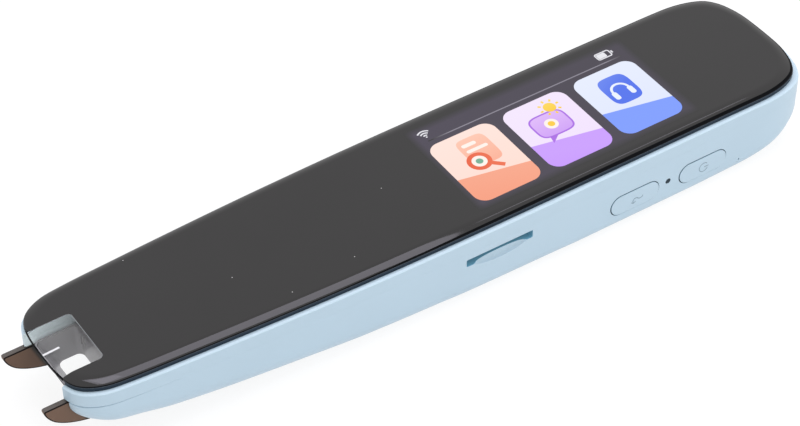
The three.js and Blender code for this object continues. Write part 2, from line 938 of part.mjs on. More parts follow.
function memory_chip() {
  const x = shield_x + shield.length / 4;
  return under_board(x, shield.y, memory_length, memory_width, chip_thickness);
}

function power_chip() {
  return under_board(shield_x + shield.length / 2 + power_chip_width, shield.y,
    power_chip_width, power_chip_width, chip_thickness);
}

function radio_module() {
  const x = shield_x + shield.length / 2 + power_chip_width * 2 + radio_length / 2 + fit_gap;
  return under_board(x, radio_offset, radio_length, radio_width, radio_height);
}

function card_socket() {
  const half = card_slot_length / 2;
  const outer = side_inner + fit_gap;
  const body = block(card_x - half, card_x + half, outer, outer + socket_depth,
    board_bottom - card_slot_height - socket_shell, board_bottom - socket_shell / 2);
  const gap = card_gap_width / 2;
  const low = card_slot_line - card_gap_height / 2;
  return body.subtract(block(card_x - gap, card_x + gap, outer - overrun, outer + card_reach,
    low, low + card_gap_height));
}

function battery_cell() {
  const shape = round_rectangle(battery_front, battery_rear, -battery_half, battery_half,
    battery_corner);
  return upright_prism(shape, battery_bottom, battery_top);
}

function battery_pad() {
  const margin = battery_corner * 2;
  return middle_block(battery_front + margin, battery_rear - margin,
    battery_half - margin, battery_top, battery_top + battery_pad_thickness);
}

function battery_board() {
  const front = battery_rear + fit_gap;
  return middle_block(front, front + battery_board_thickness, battery_half - battery_board_margin,
    battery_bottom + battery_corner, battery_top);
}

function battery_plug() {
  const x = board_front + plug_length / 2;
  return under_board(x, plug_offset, plug_length, plug_width, plug_height);
}

function port_outline(margin) {
  const half = port_width / 2 - margin;
  const high = port_height / 2 - margin;
  return round_rectangle(-half, half, port_line - high, port_line + high, high);
}

function charging_port() {
  const shell = end_prism(port_outline(0), port_front, port_rear);
  return shell.subtract(end_prism(port_outline(port_shell), port_front + port_back,
    port_rear + overrun));
}

function port_tongue() {
  const front = port_front + port_back;
  return middle_block(front, front + port_tongue_length, port_tongue_width / 2,
    port_line - port_tongue_height / 2, port_line + port_tongue_height / 2);
}

function speaker() {
  const low = wall + speaker_mesh_thickness;
  const shape = round_rectangle(speaker_x - speaker_length / 2, speaker_x + speaker_length / 2,
    speaker_offset - speaker_width / 2, speaker_offset + speaker_width / 2, speaker_corner);
  return upright_prism(shape, low, low + speaker_height);
}

function speaker_mesh() {
  const half_x = speaker_length / 2 - speaker_corner;
  const half_y = speaker_width / 2 - speaker_corner;
  return block(speaker_x - half_x, speaker_x + half_x, speaker_offset - half_y,
    speaker_offset + half_y, wall, wall + speaker_mesh_thickness);
}

function aerial() {
  const x = tail_x - aerial_from_tail;
  const face = casing_half - wall - fit_gap;
  const aerial_line = frame_bottom - aerial_drop;
  return block(x - aerial_length, x, face - aerial_thickness, face,
    aerial_line - aerial_height / 2, aerial_line + aerial_height / 2);
}

function case_screw({ x, y }) {
  const head_top = plate_top + screw_head_height;
  const head = rod('z', screw_head_radius, plate_top, head_top, x, y);
  const shank = rod('z', screw_radius, plate_top - screw_reach, plate_top, x, y);
  const drive = rod('z', drive_radius, head_top - drive_depth, head_top + overrun, x, y,
    drive_sides);
  return head.add(shank).subtract(drive);
}

// Finishes: colour, roughness, metalness
const finishes = {
  blue: [0xb9d0dc, 0.42, 0],
  glass: [0x0c0c0e, 0.06, 0],
  clear: [0xe6ecee, 0.05, 0],
  navy: [0x233241, 0.45, 0],
  amber: [0x6c5545, 0.25, 0],
  smoke: [0x777578, 0.3, 0],
  screen: [0x504c56, 0.2, 0],
  silver: [0xc4c6c8, 0.35, 1],
  board: [0x1f5a3c, 0.5, 0],
  chip: [0x202224, 0.55, 0],
  black: [0x17181a, 0.6, 0],
  copper: [0xb5763a, 0.4, 0.6],
  foil: [0xb8bcc2, 0.4, 0.7],
  foam: [0x2c2c2e, 0.95, 0],
  white: [0xf2f4f5, 0.4, 0],
  lens: [0x10151f, 0.05, 0],
};

const pen = new THREE.Group();

function place(name, body, finish) {
  const { vertProperties, triVerts } = body.getMesh();
  const geometry = new THREE.BufferGeometry();
  geometry.setAttribute('position', new THREE.BufferAttribute(vertProperties, 3));
  geometry.setIndex(new THREE.BufferAttribute(triVerts, 1));
  const [color, roughness, metalness] = finishes[finish];
  const material = new THREE.MeshStandardMaterial({ color, roughness, metalness });
  const mesh = new THREE.Mesh(geometry, material);
  mesh.name = name;
  pen.add(mesh);
}

place('lower_shell', lower_shell(), 'blue');
place('upper_frame', upper_frame(), 'blue');
place('panel_bezel', panel_bezel(), 'navy');
place('cover_glass', cover_glass(), 'glass');
place('viewing_window', viewing_window(), 'clear');
place('scan_hood', scan_hood(), 'smoke');
place('nib_frame', nib_frame(), 'amber');
place('nib_switch_stem', nib_stem(), 'white');
place('nib_switch', nib_switch(), 'black');
place('camera_lens', camera_lens(), 'lens');
place('camera_body', camera_body(), 'black');
place('camera_board', camera_board(), 'board');
place('camera_ribbon', camera_ribbon(), 'copper');
place('scan_led_left', led_room(1, 0), 'white');
place('scan_led_right', led_room(-1, 0), 'white');
place('power_button', button_cap(power_x), 'blue');
place('power_switch_stem', switch_stem(power_x), 'black');
place('power_switch', side_switch(power_x), 'silver');
place('back_button', button_cap(back_x), 'blue');
place('back_switch_stem', switch_stem(back_x), 'black');
place('back_switch', side_switch(back_x), 'silver');
place('button_board', button_board(), 'board');
place('microphone', microphone(), 'silver');
place('microphone_boot', microphone_boot(), 'foam');
place('reset_switch', reset_switch(), 'black');
place('screen_panel', screen_panel(), 'screen');
place('screen_backlight', screen_backlight(), 'white');
place('screen_tape', screen_tape(), 'foam');
place('screen_ribbon', screen_ribbon(), 'copper');
place('main_board', main_board(), 'board');
place('shield_can', shield_can(), 'silver');
place('processor', processor(), 'chip');
place('memory_chip', memory_chip(), 'chip');
place('power_chip', power_chip(), 'chip');
place('radio_module', radio_module(), 'silver');
place('card_socket', card_socket(), 'silver');
place('battery_cell', battery_cell(), 'foil');
place('battery_pad', battery_pad(), 'foam');
place('battery_board', battery_board(), 'board');
place('battery_plug', battery_plug(), 'white');
place('charging_port', charging_port(), 'silver');
place('charging_port_tongue', port_tongue(), 'black');
place('speaker', speaker(), 'black');
place('speaker_mesh', speaker_mesh(), 'foam');
place('aerial', aerial(), 'copper');
screws.forEach((screw, i) => place(`case_screw_${i + 1}`, case_screw(screw), 'silver'));
board_screws().forEach((screw, i) => place(`board_screw_${i + 1}`, board_screw(screw), 'silver'));

export default pen;
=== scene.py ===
import json
import math

import bmesh
import bpy
import numpy as np
from mathutils import Matrix, Vector


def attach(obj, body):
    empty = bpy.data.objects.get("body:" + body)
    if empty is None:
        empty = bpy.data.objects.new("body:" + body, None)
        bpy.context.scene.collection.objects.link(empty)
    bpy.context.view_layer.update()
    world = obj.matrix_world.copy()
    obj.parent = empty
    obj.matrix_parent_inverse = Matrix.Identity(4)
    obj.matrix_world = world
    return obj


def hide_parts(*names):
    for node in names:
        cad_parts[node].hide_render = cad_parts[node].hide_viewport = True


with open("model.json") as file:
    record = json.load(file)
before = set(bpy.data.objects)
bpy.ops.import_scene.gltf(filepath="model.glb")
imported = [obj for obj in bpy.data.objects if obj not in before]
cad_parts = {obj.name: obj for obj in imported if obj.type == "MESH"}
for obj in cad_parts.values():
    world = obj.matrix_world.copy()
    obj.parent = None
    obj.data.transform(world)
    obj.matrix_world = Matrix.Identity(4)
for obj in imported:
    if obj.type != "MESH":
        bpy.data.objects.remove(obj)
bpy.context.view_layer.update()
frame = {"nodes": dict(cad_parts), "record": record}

# Sizes in millimetres: X runs from the tip to the tail, Y to the far side, Z up
MM = 0.001
TIP = -75.55
TAIL = 79.15
LENGTH = TAIL - TIP
HALF = 16.0
TOP = 16.45
WALL = 1.5

# Levels at which the parts of the casing end
SHELL_TOP = 11.25
FRAME_BOTTOM = 11.55
SEAM = (SHELL_TOP + FRAME_BOTTOM) / 2
PLATE_TOP = 12.35
BEZEL_BOTTOM = 14.47
GLASS_BOTTOM = 15.42
GLASS_TOP = 16.32

# Rims of the casing around the glass
FRONT_RIM = 0.45
REAR_RIM = 1.15
SIDE_RIM = 0.7

# Notches for the scan mouth in the frame, the bezel and the lower shell, and the scan camera's holder
NOTCH_HALF = 7.05
NOTCH_REAR = -61.15
BEZEL_NOTCH = TIP + 9.95
SHELL_CUT_HALF = 8.2
SHELL_CUT_REAR = -63.65
CAVITY_FRONT = -62.75
HOLDER_BOTTOM = 6.8
HOLDER_REAR = -58.8
LENS_LEVEL = 9.4

# Scan mouth and its hood
MOUTH_HALF = 6.0
MOUTH_FRONT = -74.0
MOUTH_REAR = -65.4
MOUTH_BOTTOM = 5.6
MOUTH_LEAN = 3.4
HOOD_HALF = 6.5

# Clear window: rear and far edges at the glass's foot and top, and its near edge
WINDOW_REAR_LOW = TIP + 9.35
WINDOW_REAR_TOP = TIP + 8.74
WINDOW_FAR_LOW = 6.42
WINDOW_FAR_TOP = 5.45
WINDOW_NEAR = -6.67

# Feet of the nib and the bar that joins them
FOOT_FRONT = -79.15
FOOT_LENGTH = 8.6
FOOT_BOTTOM = 4.9
FOOT_IN = 6.8
FOOT_OUT = 7.9
BAR_FRONT = -56.15
BAR_REAR = -54.75

# Keys and openings of the near side, whose cuts run from CUT_FRONT to CUT_REAR
BUTTON_LINE = 5.8
BUTTON_LENGTH = 10.85
BUTTON_HEIGHT = 4.3
POWER_X = 51.95
BACK_X = 36.25
CARD_X = 6.19
CARD_LINE = 9.15
SCOOP_LINE = 9.1
MIC_X = 43.89
MIC_LINE = 6.15
RESET_X = 60.82
RESET_LINE = 3.16
KEY_FACE = -16.1
SIGN_HEIGHT = 0.03
CUT_FRONT = -18
CUT_REAR = -13.6

# Charging port in the tail, speaker grille in the underside, screws
PORT_LINE = 8.57
PORT_WIDTH = 8.94
PORT_HEIGHT = 3.16
SPEAKER_X = 49.15
SPEAKER_Y = 5.0
GRILLE_PITCH = 2.1
BOSS_RADIUS = 2.2
SCREWS = [(TIP + 24.2, 9.6), (TIP + 24.2, -9.6), (TAIL - 83.9, 11.3), (TAIL - 83.9, -11.3),
          (TAIL - 8.6, 10.1), (TAIL - 8.6, -10.1)]

# Stations from tip to tail, read off the photograph's outline and rounded: share of the length with the half
# width as a share of HALF, the underside's rise as a share of TOP, the lower radius as a share of HALF
OUTLINE = [
    (0, 0), (0.0002, 0.15), (0.0008, 0.275), (0.0021, 0.3875), (0.0045, 0.4938),
    (0.0084, 0.5844), (0.0145, 0.6562), (0.0236, 0.7188), (0.0333, 0.7625), (0.0449, 0.7937),
    (0.0643, 0.8156), (0.0869, 0.8344), (0.1257, 0.8575), (0.1645, 0.8806), (0.2033, 0.9019),
    (0.2421, 0.9219), (0.2809, 0.94), (0.3197, 0.9556), (0.3584, 0.9681), (0.3972, 0.9788),
    (0.4489, 0.9888), (0.5136, 0.9962), (0.5911, 1), (0.6881, 1), (0.7851, 1),
    (0.8497, 1), (0.8788, 1), (0.9079, 1), (0.9279, 0.9956), (0.9447, 0.975),
    (0.9623, 0.9289), (0.9781, 0.8481), (0.9893, 0.7027), (0.9956, 0.524), (0.9989, 0.3455),
    (0.9998, 0.169), (1, 0)]
UNDERSIDE_RISE = [
    (0, 0.2918), (0.032, 0.2888), (0.0698, 0.2554), (0.1128, 0.1799), (0.1555, 0.1343),
    (0.1968, 0.1003), (0.2388, 0.0729), (0.2809, 0.0456), (0.3229, 0.0152), (0.352, 0),
    (0.9144, 0), (0.9402, 0.002), (0.9661, 0.038), (1, 0.105)]
LOWER_RADIUS = [
    (0, 0.3125), (0.3229, 0.3125), (0.4056, 0.275), (0.4489, 0.2531), (0.4877, 0.225),
    (0.5718, 0.2037), (0.6105, 0.1938), (0.6558, 0.175), (0.8174, 0.175), (0.8562, 0.1875),
    (0.895, 0.2062), (0.9337, 0.28), (1, 0.49)]
OUTLINE_STEP = 1.1

# The tail end leans a touch to the near side
TAIL_LEAN = 0.18
LEAN_FROM = 0.87

# Nose of the lower shell: power of its curve, share of the length that it blends over, run, upright lip above
NOSE_POWER = 1.15
NOSE_BLEND = 0.045
NOSE_RUN = 6.0
NOSE_LIP = 0.35

# Front of a foot: share of its length with share of its height from the top
FOOT = [(0.04, 0), (0.008, 0.02), (0, 0.07), (0.047, 0.256), (0.18, 0.511), (0.378, 0.707),
        (0.587, 0.842), (0.8, 0.94), (1, 1)]

# Round edge of the glass: foot of its curve as (inset, height), then a parabola; black rim at its foot
GLASS_ROUND = 2.05
GLASS_BULGE = 0.129
GLASS_LOW = [(0.0, 15.6), (0.012, 15.68), (0.045, 15.76), (0.1, 15.829)]
RIM_NARROW = 0.02
RIM_WIDE = 0.42
RIM_GROWS_FROM = 0.29
RIM_GROWS_OVER = 0.39

# Camera of the photograph: place in millimetres, focal length and picture width in pixels
CAMERA_PLACE = (-174.20, -259.51, 300.95)
FOCAL = 2389.9
PICTURE_WIDTH = 800
SENSOR = 36.0

# The screen's drawing: where its origin lies, the level it was drawn on, how deep the prints are sunk
DRAWING_AT = (5.9, -0.3)
DRAWING_LEVEL = 15.75
SUNK = 0.01


# Curves through tables of numbers
def ease(k):
    """Runs smoothly from 0 to 1 as k does, and stays there outside."""
    k = min(max(k, 0), 1)
    return k * k * (3 - 2 * k)


def smooth_table(table):
    """A smooth curve through a table of (x, y), which doesn't swing past its points."""
    x, y = (np.array(v, float) for v in zip(*table))
    h, d = np.diff(x), np.diff(y) / np.diff(x)
    m = np.zeros(len(x))
    for i in range(1, len(x) - 1):
        if d[i - 1] * d[i] > 0:
            a, b = 2 * h[i] + h[i - 1], h[i] + 2 * h[i - 1]
            m[i] = (a + b) / (a / d[i - 1] + b / d[i])
    m[0], m[-1] = d[0], d[-1]

    def value(s):
        i = int(np.clip(np.searchsorted(x, s) - 1, 0, len(h) - 1))
        t = (s - x[i]) / h[i]
        return ((1 + 2 * t) * (1 - t) ** 2 * y[i] + t * (1 - t) ** 2 * h[i] * m[i]
                + t * t * (3 - 2 * t) * y[i + 1] + t * t * (t - 1) * h[i] * m[i + 1])
    return value


def through(points, step, closed=False):
    """Points along a centripetal curve through points, about a step apart."""
    p = [np.array(q, float) for q in points]
    n = len(p)
    out = []
    for i in range(n if closed else n - 1):
        a, b, c, d = (p[(i + k) % n] if closed else p[min(max(i + k, 0), n - 1)] for k in (-1, 0, 1, 2))
        if not closed and i == 0:
            a = 2 * b - c
        if not closed and i == n - 2:
            d = 2 * c - b
        t1 = max(np.linalg.norm(b - a), 1e-9) ** 0.5
        t2 = t1 + max(np.linalg.norm(c - b), 1e-9) ** 0.5
        t3 = t2 + max(np.linalg.norm(d - c), 1e-9) ** 0.5
        count = max(2, int(np.ceil(np.linalg.norm(c - b) / step)))
        for k in range(count):
            t = t1 + (t2 - t1) * k / count
            a1 = (t1 - t) / t1 * a + t / t1 * b
            a2 = (t2 - t) / (t2 - t1) * b + (t - t1) / (t2 - t1) * c
            a3 = (t3 - t) / (t3 - t2) * c + (t - t2) / (t3 - t2) * d
            b1 = (t2 - t) / t2 * a1 + t / t2 * a2
            b2 = (t3 - t) / (t3 - t1) * a2 + (t - t1) / (t3 - t1) * a3
            out.append((t2 - t) / (t2 - t1) * b1 + (t - t1) / (t2 - t1) * b2)
    if not closed:
        out.append(p[-1])
    return out


def fine_outline():
    """The outline's stations from tip to tail, set closer together."""
    half = [(s * LENGTH, w * HALF) for s, w in OUTLINE]
    ring = half + [(x, -y) for x, y in half[-2:0:-1]]
    fine = [(x / LENGTH, y / HALF) for x, y in through(ring, OUTLINE_STEP, closed=True)]
    return fine[:fine.index(max(fine)) + 1]


SHARES = fine_outline()
rise_at = smooth_table(UNDERSIDE_RISE)
radius_at = smooth_table(LOWER_RADIUS)


# Meshes
def make(name, verts, faces):
    """A mesh object from points in millimetres."""
    mesh = bpy.data.meshes.new(name)
    mesh.from_pydata([tuple(c * MM for c in v) for v in verts], [], [tuple(f) for f in faces])
    obj = bpy.data.objects.new(name, mesh)
    bpy.context.scene.collection.objects.link(obj)
    mend(obj)
    return obj


def mend(obj):
    """Merges points that coincide and turns all faces outwards."""
    bm = bmesh.new()
    bm.from_mesh(obj.data)
    bmesh.ops.remove_doubles(bm, verts=bm.verts, dist=1e-7)
    bmesh.ops.recalc_face_normals(bm, faces=bm.faces)
    bm.to_mesh(obj.data)
    bm.free()


def tail_shift(x):
    """How far the outline leans to the near side at x."""
    return TAIL_LEAN * ease(((x - TIP) / LENGTH - LEAN_FROM) / (1 - LEAN_FROM))


def plan_ring(level):
    """The pen's outline, moved in and set at the height that level gives for each share of the length."""
    half = []
    for s, w in SHARES:
        front, rear, side, z = level(s)
        half.append((TIP + front + s * (LENGTH - front - rear), w * (HALF - side), z))
    ring = half + [(x, -y, z) for x, y, z in half[-2:0:-1]]
    return [(x, y - tail_shift(x), z) for x, y, z in ring]


def plan_body(name, levels):
    """A closed body through rings of the outline, from the lowest to the highest."""
    rings = [plan_ring(level) for level in levels]
    n, last = len(rings[0]), len(SHARES) - 1
    faces = []
    for k in range(len(rings) - 1):
        for i in range(n):
            a, b = k * n + i, k * n + (i + 1) % n
            faces.append((a, a + n, b + n, b))
    top = (len(rings) - 1) * n
    for i in range(last):
        low = [i, i + 1, (n - i - 1) % n, (n - i) % n]
        low = [v for k, v in enumerate(low) if v not in low[:k]]
        faces.append(low)
        faces.append([top + v for v in reversed(low)])
    return make(name, [v for ring in rings for v in ring], faces)


def flat(front, rear, side, z):
    return lambda s: (front, rear, side, z)


def even(inset, z):
    """A level ring, as far in from the casing's outline on all sides."""
    return flat(inset, inset, inset, z)


def panel(inset, z):
    """A level ring, as far in from the glass's outline on all sides."""
    return flat(FRONT_RIM + inset, REAR_RIM + inset, SIDE_RIM + inset, z)


def seam(inset, rise, way, lip=0.0):
    """A ring beside the seam, which nearly closes along the sides and opens at both ends."""
    def level(s):
        at_tip, at_tail = max(0.0, 1 - s / 0.13), max(0.0, 1 - (1 - s) / 0.04)
        near = min(1.0, at_tip ** 1.5 + at_tail ** 1.5)
        k = 0.12 + 0.88 * near
        i = inset * k + lip
        return i, i, i, SEAM + way * (rise * k + 0.002 + 0.09 * near)
    return level


def belly(turn, skin):
    """A ring of the lower shell's rounding: turn runs from 0 at its top to a quarter circle underneath."""
    def level(s):
        nose = ease(1 - s / NOSE_BLEND)
        radius = radius_at(s) * HALF - skin
        power = 1 + (NOSE_POWER - 1) * nose
        run = radius + (NOSE_RUN - skin - radius) * nose
        reach = skin + run * (1 - max(math.cos(turn), 0) ** power)
        place = (reach + (LENGTH - 2 * reach) * s) / LENGTH
        lift = rise_at(place) * TOP
        climb = radius + (SHELL_TOP - NOSE_LIP - lift - skin - radius) * nose
        return reach, reach, reach, lift + skin + climb * (1 - math.sin(turn) ** power)
    return level


def belly_levels(skin, steps=16):
    return [belly(k / steps * math.pi / 2, skin) for k in range(steps, -1, -1)]


def loft(name, rings):
    """A closed body through rings that have the same number of points."""
    n = len(rings[0])
    faces = [(k * n + i, k * n + (i + 1) % n, (k + 1) * n + (i + 1) % n, (k + 1) * n + i)
             for k in range(len(rings) - 1) for i in range(n)]
    faces += [tuple(range(n)), tuple(range((len(rings) - 1) * n, len(rings) * n))]
    return make(name, [v for ring in rings for v in ring], faces)


def box(name, x0, x1, y0, y1, z0, z1):
    return loft(name, [[(x0, y0, z), (x1, y0, z), (x1, y1, z), (x0, y1, z)] for z in (z0, z1)])


def circle(radius, steps):
    turns = [2 * math.pi * k / steps for k in range(steps)]
    return [(radius * math.cos(a), radius * math.sin(a)) for a in turns]


def pill(length, height, grow=0.0, steps=14):
    """A lying pill shape around the origin, made larger by grow on all sides."""
    r, h = height / 2 + grow, max(length / 2 - height / 2, 0)
    turns = np.linspace(-math.pi / 2, math.pi / 2, steps)
    right = [(h + r * math.cos(a), r * math.sin(a)) for a in turns]
    return right + [(-u, -v) for u, v in right]


def arc(cu, cv, r, a0, a1, steps=20):
    turns = [math.radians(a0 + (a1 - a0) * k / steps) for k in range(steps + 1)]
    return [(cu + r * math.cos(a), cv + r * math.sin(a)) for a in turns]


def rounded(u0, u1, v0, v1, r, steps=8):
    """A rectangle with round corners."""
    corners = ((u1 - r, v0 + r, -90), (u1 - r, v1 - r, 0), (u0 + r, v1 - r, 90), (u0 + r, v0 + r, 180))
    return [q for cu, cv, start in corners for q in arc(cu, cv, r, start, start + 90, steps)]


def side_pill(name, x, z, length, height, sections):
    """A pill seen from the side, lofted through (y, growth) sections."""
    return loft(name, [[(x + u, y, z + v) for u, v in pill(length, height, g)] for y, g in sections])


def post(name, radius, z0, z1, x, y, steps=24):
    """A round bar that stands along Z."""
    return loft(name, [[(x + u, y + v, z) for u, v in circle(radius, steps)] for z in (z0, z1)])


def side_hole(name, radius, x, z, steps=24):
    """A round bar along Y that cuts a hole into the near side."""
    ring = circle(radius, steps)
    return loft(name, [[(x + u, y, z + v) for u, v in ring] for y in (CUT_FRONT, CUT_REAR)])


def carve(obj, tools, way="DIFFERENCE"):
    """Cuts the tools out of an object, or joins or intersects it with them, and removes them."""
    for tool in tools:
        step = obj.modifiers.new("cut", "BOOLEAN")
        step.operation = way
        step.solver = "EXACT"
        step.object = tool
    graph = bpy.context.evaluated_depsgraph_get()
    mesh = bpy.data.meshes.new_from_object(obj.evaluated_get(graph))
    obj.modifiers.clear()
    old, obj.data = obj.data, mesh
    bpy.data.meshes.remove(old)
    for tool in tools:
        bpy.data.objects.remove(tool)
    return obj


def smooth(obj, angle=28.0):
    """Shades an object smooth, with edges sharper than the angle kept."""
    for f in obj.data.polygons:
        f.use_smooth = True
    obj.data.set_sharp_from_angle(angle=math.radians(angle))
    w = obj.modifiers.new("normals", "WEIGHTED_NORMAL")
    w.keep_sharp = True
    w.weight = 80
    return obj


def in_mm(v):
    return tuple(c / MM for c in v)


# Shader nodes
def nodes_of(name):
    m = bpy.data.materials.new(name)
    m.use_nodes = True
    t = m.node_tree
    return m, t, t.nodes["Principled BSDF"]


def place_of(t):
    return t.nodes.new("ShaderNodeTexCoord").outputs["Object"]


def noise(t, scale, detail):
    n = t.nodes.new("ShaderNodeTexNoise")
    n.inputs["Scale"].default_value = scale
    n.inputs["Detail"].default_value = detail
    t.links.new(place_of(t), n.inputs["Vector"])
    return n.outputs["Fac"]


def ramp(t, source, low, high, a=0.3, b=0.7):
    """Turns the range a to b of a value into low to high."""
    r = t.nodes.new("ShaderNodeMapRange")
    for socket, value in (("From Min", a), ("From Max", b), ("To Min", low), ("To Max", high)):
        r.inputs[socket].default_value = value
    t.links.new(source, r.inputs["Value"])
    return r.outputs["Result"]


def calculate(t, operation, a, b):
    """A Math node on a socket and on another socket or a number."""
    n = t.nodes.new("ShaderNodeMath")
    n.operation = operation
    t.links.new(a, n.inputs[0])
    if isinstance(b, float):
        n.inputs[1].default_value = b
    else:
        t.links.new(b, n.inputs[1])
    return n.outputs["Value"]


def along(t, axis):
    """How far a point lies along an axis, in metres."""
    dot = t.nodes.new("ShaderNodeVectorMath")
    dot.operation = "DOT_PRODUCT"
    dot.inputs[1].default_value = axis
    t.links.new(place_of(t), dot.inputs[0])
    return dot.outputs["Value"]


def tint(t, factor, low, high):
    m = t.nodes.new("ShaderNodeMix")
    m.data_type = "RGBA"
    m.inputs["A"].default_value = (*low, 1)
    m.inputs["B"].default_value = (*high, 1)
    t.links.new(factor, m.inputs["Factor"])
    return m.outputs["Result"]


def paint_over(t, p, factor, colour):
    """Mixes a colour over what the base colour has so far."""
    m = t.nodes.new("ShaderNodeMix")
    m.data_type = "RGBA"
    m.inputs["B"].default_value = (*colour, 1)
    t.links.new(factor, m.inputs["Factor"])
    t.links.new(p.inputs["Base Color"].links[0].from_socket, m.inputs["A"])
    t.links.new(m.outputs["Result"], p.inputs["Base Color"])


def linear(r, g, b):
    """A colour on the screen, turned into amounts of light."""
    return tuple((c / 255 / 12.92) if c <= 10 else ((c / 255 + 0.055) / 1.055) ** 2.4 for c in (r, g, b))


def shade(c, k):
    return tuple(min(v * k, 1) for v in c)


# Materials
def moulded(name, colour, rough=0.4, grain=2600.0, depth=0.06, spread=0.04, metal=0.0, ior=1.46,
            patch=60.0, rough_spread=0.06):
    """A surface with faint patches of lighter and darker colour, and a fine grain in gloss and relief."""
    m, t, p = nodes_of(name)
    p.inputs["Metallic"].default_value = metal
    p.inputs["IOR"].default_value = ior
    wide, fine = noise(t, patch, 5.0), noise(t, grain, 3.0)
    patches = tint(t, ramp(t, wide, 0, 1), shade(colour, 1 - spread), shade(colour, 1 + spread))
    t.links.new(patches, p.inputs["Base Color"])
    t.links.new(ramp(t, fine, rough - rough_spread, rough + rough_spread), p.inputs["Roughness"])
    bump = t.nodes.new("ShaderNodeBump")
    bump.inputs["Strength"].default_value = depth
    bump.inputs["Distance"].default_value = 0.0001
    t.links.new(fine, bump.inputs["Height"])
    t.links.new(bump.outputs["Normal"], p.inputs["Normal"])
    return m


def paint_shade_inside(m):
    """Paints shade on the feet where they go in under the casing: dark brown over their inner end."""
    t, p = m.node_tree, m.node_tree.nodes["Principled BSDF"]
    inside = ramp(t, along(t, (1, 0, 0.379)), 0, 1, -70.3 * MM, -69.7 * MM)
    # painted shade: dark brown over the amber past the slanting line where the feet enter the casing
    paint_over(t, p, inside, linear(34, 30, 28))


def dust(m):
    """A few tiny pale specks of dust on the glass."""
    t, p = m.node_tree, m.node_tree.nodes["Principled BSDF"]
    cells = t.nodes.new("ShaderNodeTexVoronoi")
    cells.voronoi_dimensions = "2D"
    cells.inputs["Scale"].default_value = 300
    t.links.new(place_of(t), cells.inputs["Vector"])
    speck = ramp(t, cells.outputs["Distance"], 1, 0, 0.022, 0.034)
    lot = t.nodes.new("ShaderNodeSeparateColor")
    t.links.new(cells.outputs["Color"], lot.inputs["Color"])
    few = calculate(t, "GREATER_THAN", lot.outputs["Red"], 0.975)
    paint_over(t, p, calculate(t, "MULTIPLY", speck, few), (0.55, 0.54, 0.53))


def clear_material():
    """Clear plastic: all light goes through but what its faces reflect, which is more at a low angle."""
    m, t, p = nodes_of("clear_pane")
    p.inputs["Base Color"].default_value = (0.96, 0.97, 0.98, 1)
    p.inputs["Metallic"].default_value = 1.0
    p.inputs["Alpha"].default_value = 0.06
    t.links.new(ramp(t, noise(t, 300.0, 3.0), 0.02, 0.06), p.inputs["Roughness"])
    slant = t.nodes.new("ShaderNodeLayerWeight")
    slant.inputs["Blend"].default_value = 0.5
    steep = calculate(t, "POWER", slant.outputs["Facing"], 5.0)
    t.links.new(ramp(t, steep, 0.05, 0.7, 0, 1), p.inputs["Alpha"])
    return m


casing = moulded("casing_plastic", linear(187, 210, 224), 0.36, 3200, 0.05, 0.012, rough_spread=0.04)
# painted shade: a darker blue than the casing for the key holes' walls and the keys' sides inside them
casing_recess_painted_shade = moulded("casing_plastic_recess_painted_shade", linear(106, 144, 162), 0.5, 3200, 0.05, 0.03)
# painted highlight: a paler blue along the frame's rounded upper edge, where it catches the overhead light
casing_edge_painted_highlight = moulded("casing_upper_edge_painted_highlight", linear(202, 224, 237), 0.3, 3200, 0.04, 0.012, rough_spread=0.04)
# painted light: a paler blue than the casing for the notch's walls, which lie in shade under the clear pane
notch_wall_painted_light = moulded("casing_notch_wall_painted_light", linear(234, 250, 255), 0.4, 3200, 0.05, 0.02)
casing_sign = moulded("casing_sign", linear(132, 156, 170), 0.4, 3200, 0.04, 0.02)
# painted shade: a darker, deeper blue for the card slot's walls, standing in for shade and light bouncing
# inside the slot
slot_painted_shade = moulded("casing_plastic_slot_painted_shade", linear(122, 180, 204), 0.5, 3200, 0.05, 0.03)
bezel_navy = moulded("bezel_navy", linear(30, 46, 60), 0.34, 2600, 0.03, 0.1, ior=1.25)
# painted highlight: a lighter grey-blue on the bezel's lip just under the glass, a thin light line
bezel_lip_painted_highlight = moulded("bezel_lip_painted_highlight", linear(56, 64, 74), 0.25, 2600, 0.03, 0.1)
amber = moulded("amber_side", linear(109, 83, 66), 0.34, 2400, 0.03, 0.05, ior=1.36, rough_spread=0.02)
# painted shade: near black on the feet's rounded edges, a dark outline around the amber
amber_edge_painted_shade = moulded("amber_edge_painted_shade", linear(30, 25, 23), 0.4, 2400, 0.02, 0.15, ior=1.15)
# painted sheen: a greyer, lighter copy of the amber for the feet's top faces
amber_top_painted_sheen = moulded("amber_top_painted_sheen", linear(92, 86, 82), 0.22, 2400, 0.02, 0.1, rough_spread=0.02)
smoke = moulded("smoke_liner", linear(142, 139, 143), 0.34, 1500, 0.05, 0.09, patch=160, rough_spread=0.03)
# painted shade: a dark copy of the smoke liner for the hood's outside near the clear pane
smoke_painted_shade = moulded("smoke_liner_outside_painted_shade", linear(46, 42, 41), 0.3, 1500, 0.04, 0.1, ior=1.3)
steel = moulded("steel", (0.56, 0.57, 0.58), 0.3, 1800, 0.05, 0.06, metal=1.0)
gold_film = moulded("copper_film", (0.62, 0.33, 0.12), 0.35, 1500, 0.04, 0.08, metal=0.6)
foil = moulded("battery_foil", (0.55, 0.57, 0.6), 0.4, 900, 0.2, 0.06, metal=0.7)
circuit = moulded("circuit_board", (0.02, 0.12, 0.05), 0.4, 1500, 0.1, 0.2)
chip = moulded("chip_resin", (0.018, 0.02, 0.022), 0.55, 4000, 0.15, 0.2)
black = moulded("black_plastic", (0.013, 0.014, 0.016), 0.45, 3000, 0.1, 0.2)
white = moulded("white_plastic", (0.82, 0.83, 0.84), 0.35, 2500, 0.04, 0.03)
white_line = moulded("white_line", (0.86, 0.87, 0.88), 0.3, 1500, 0.02, 0.03)
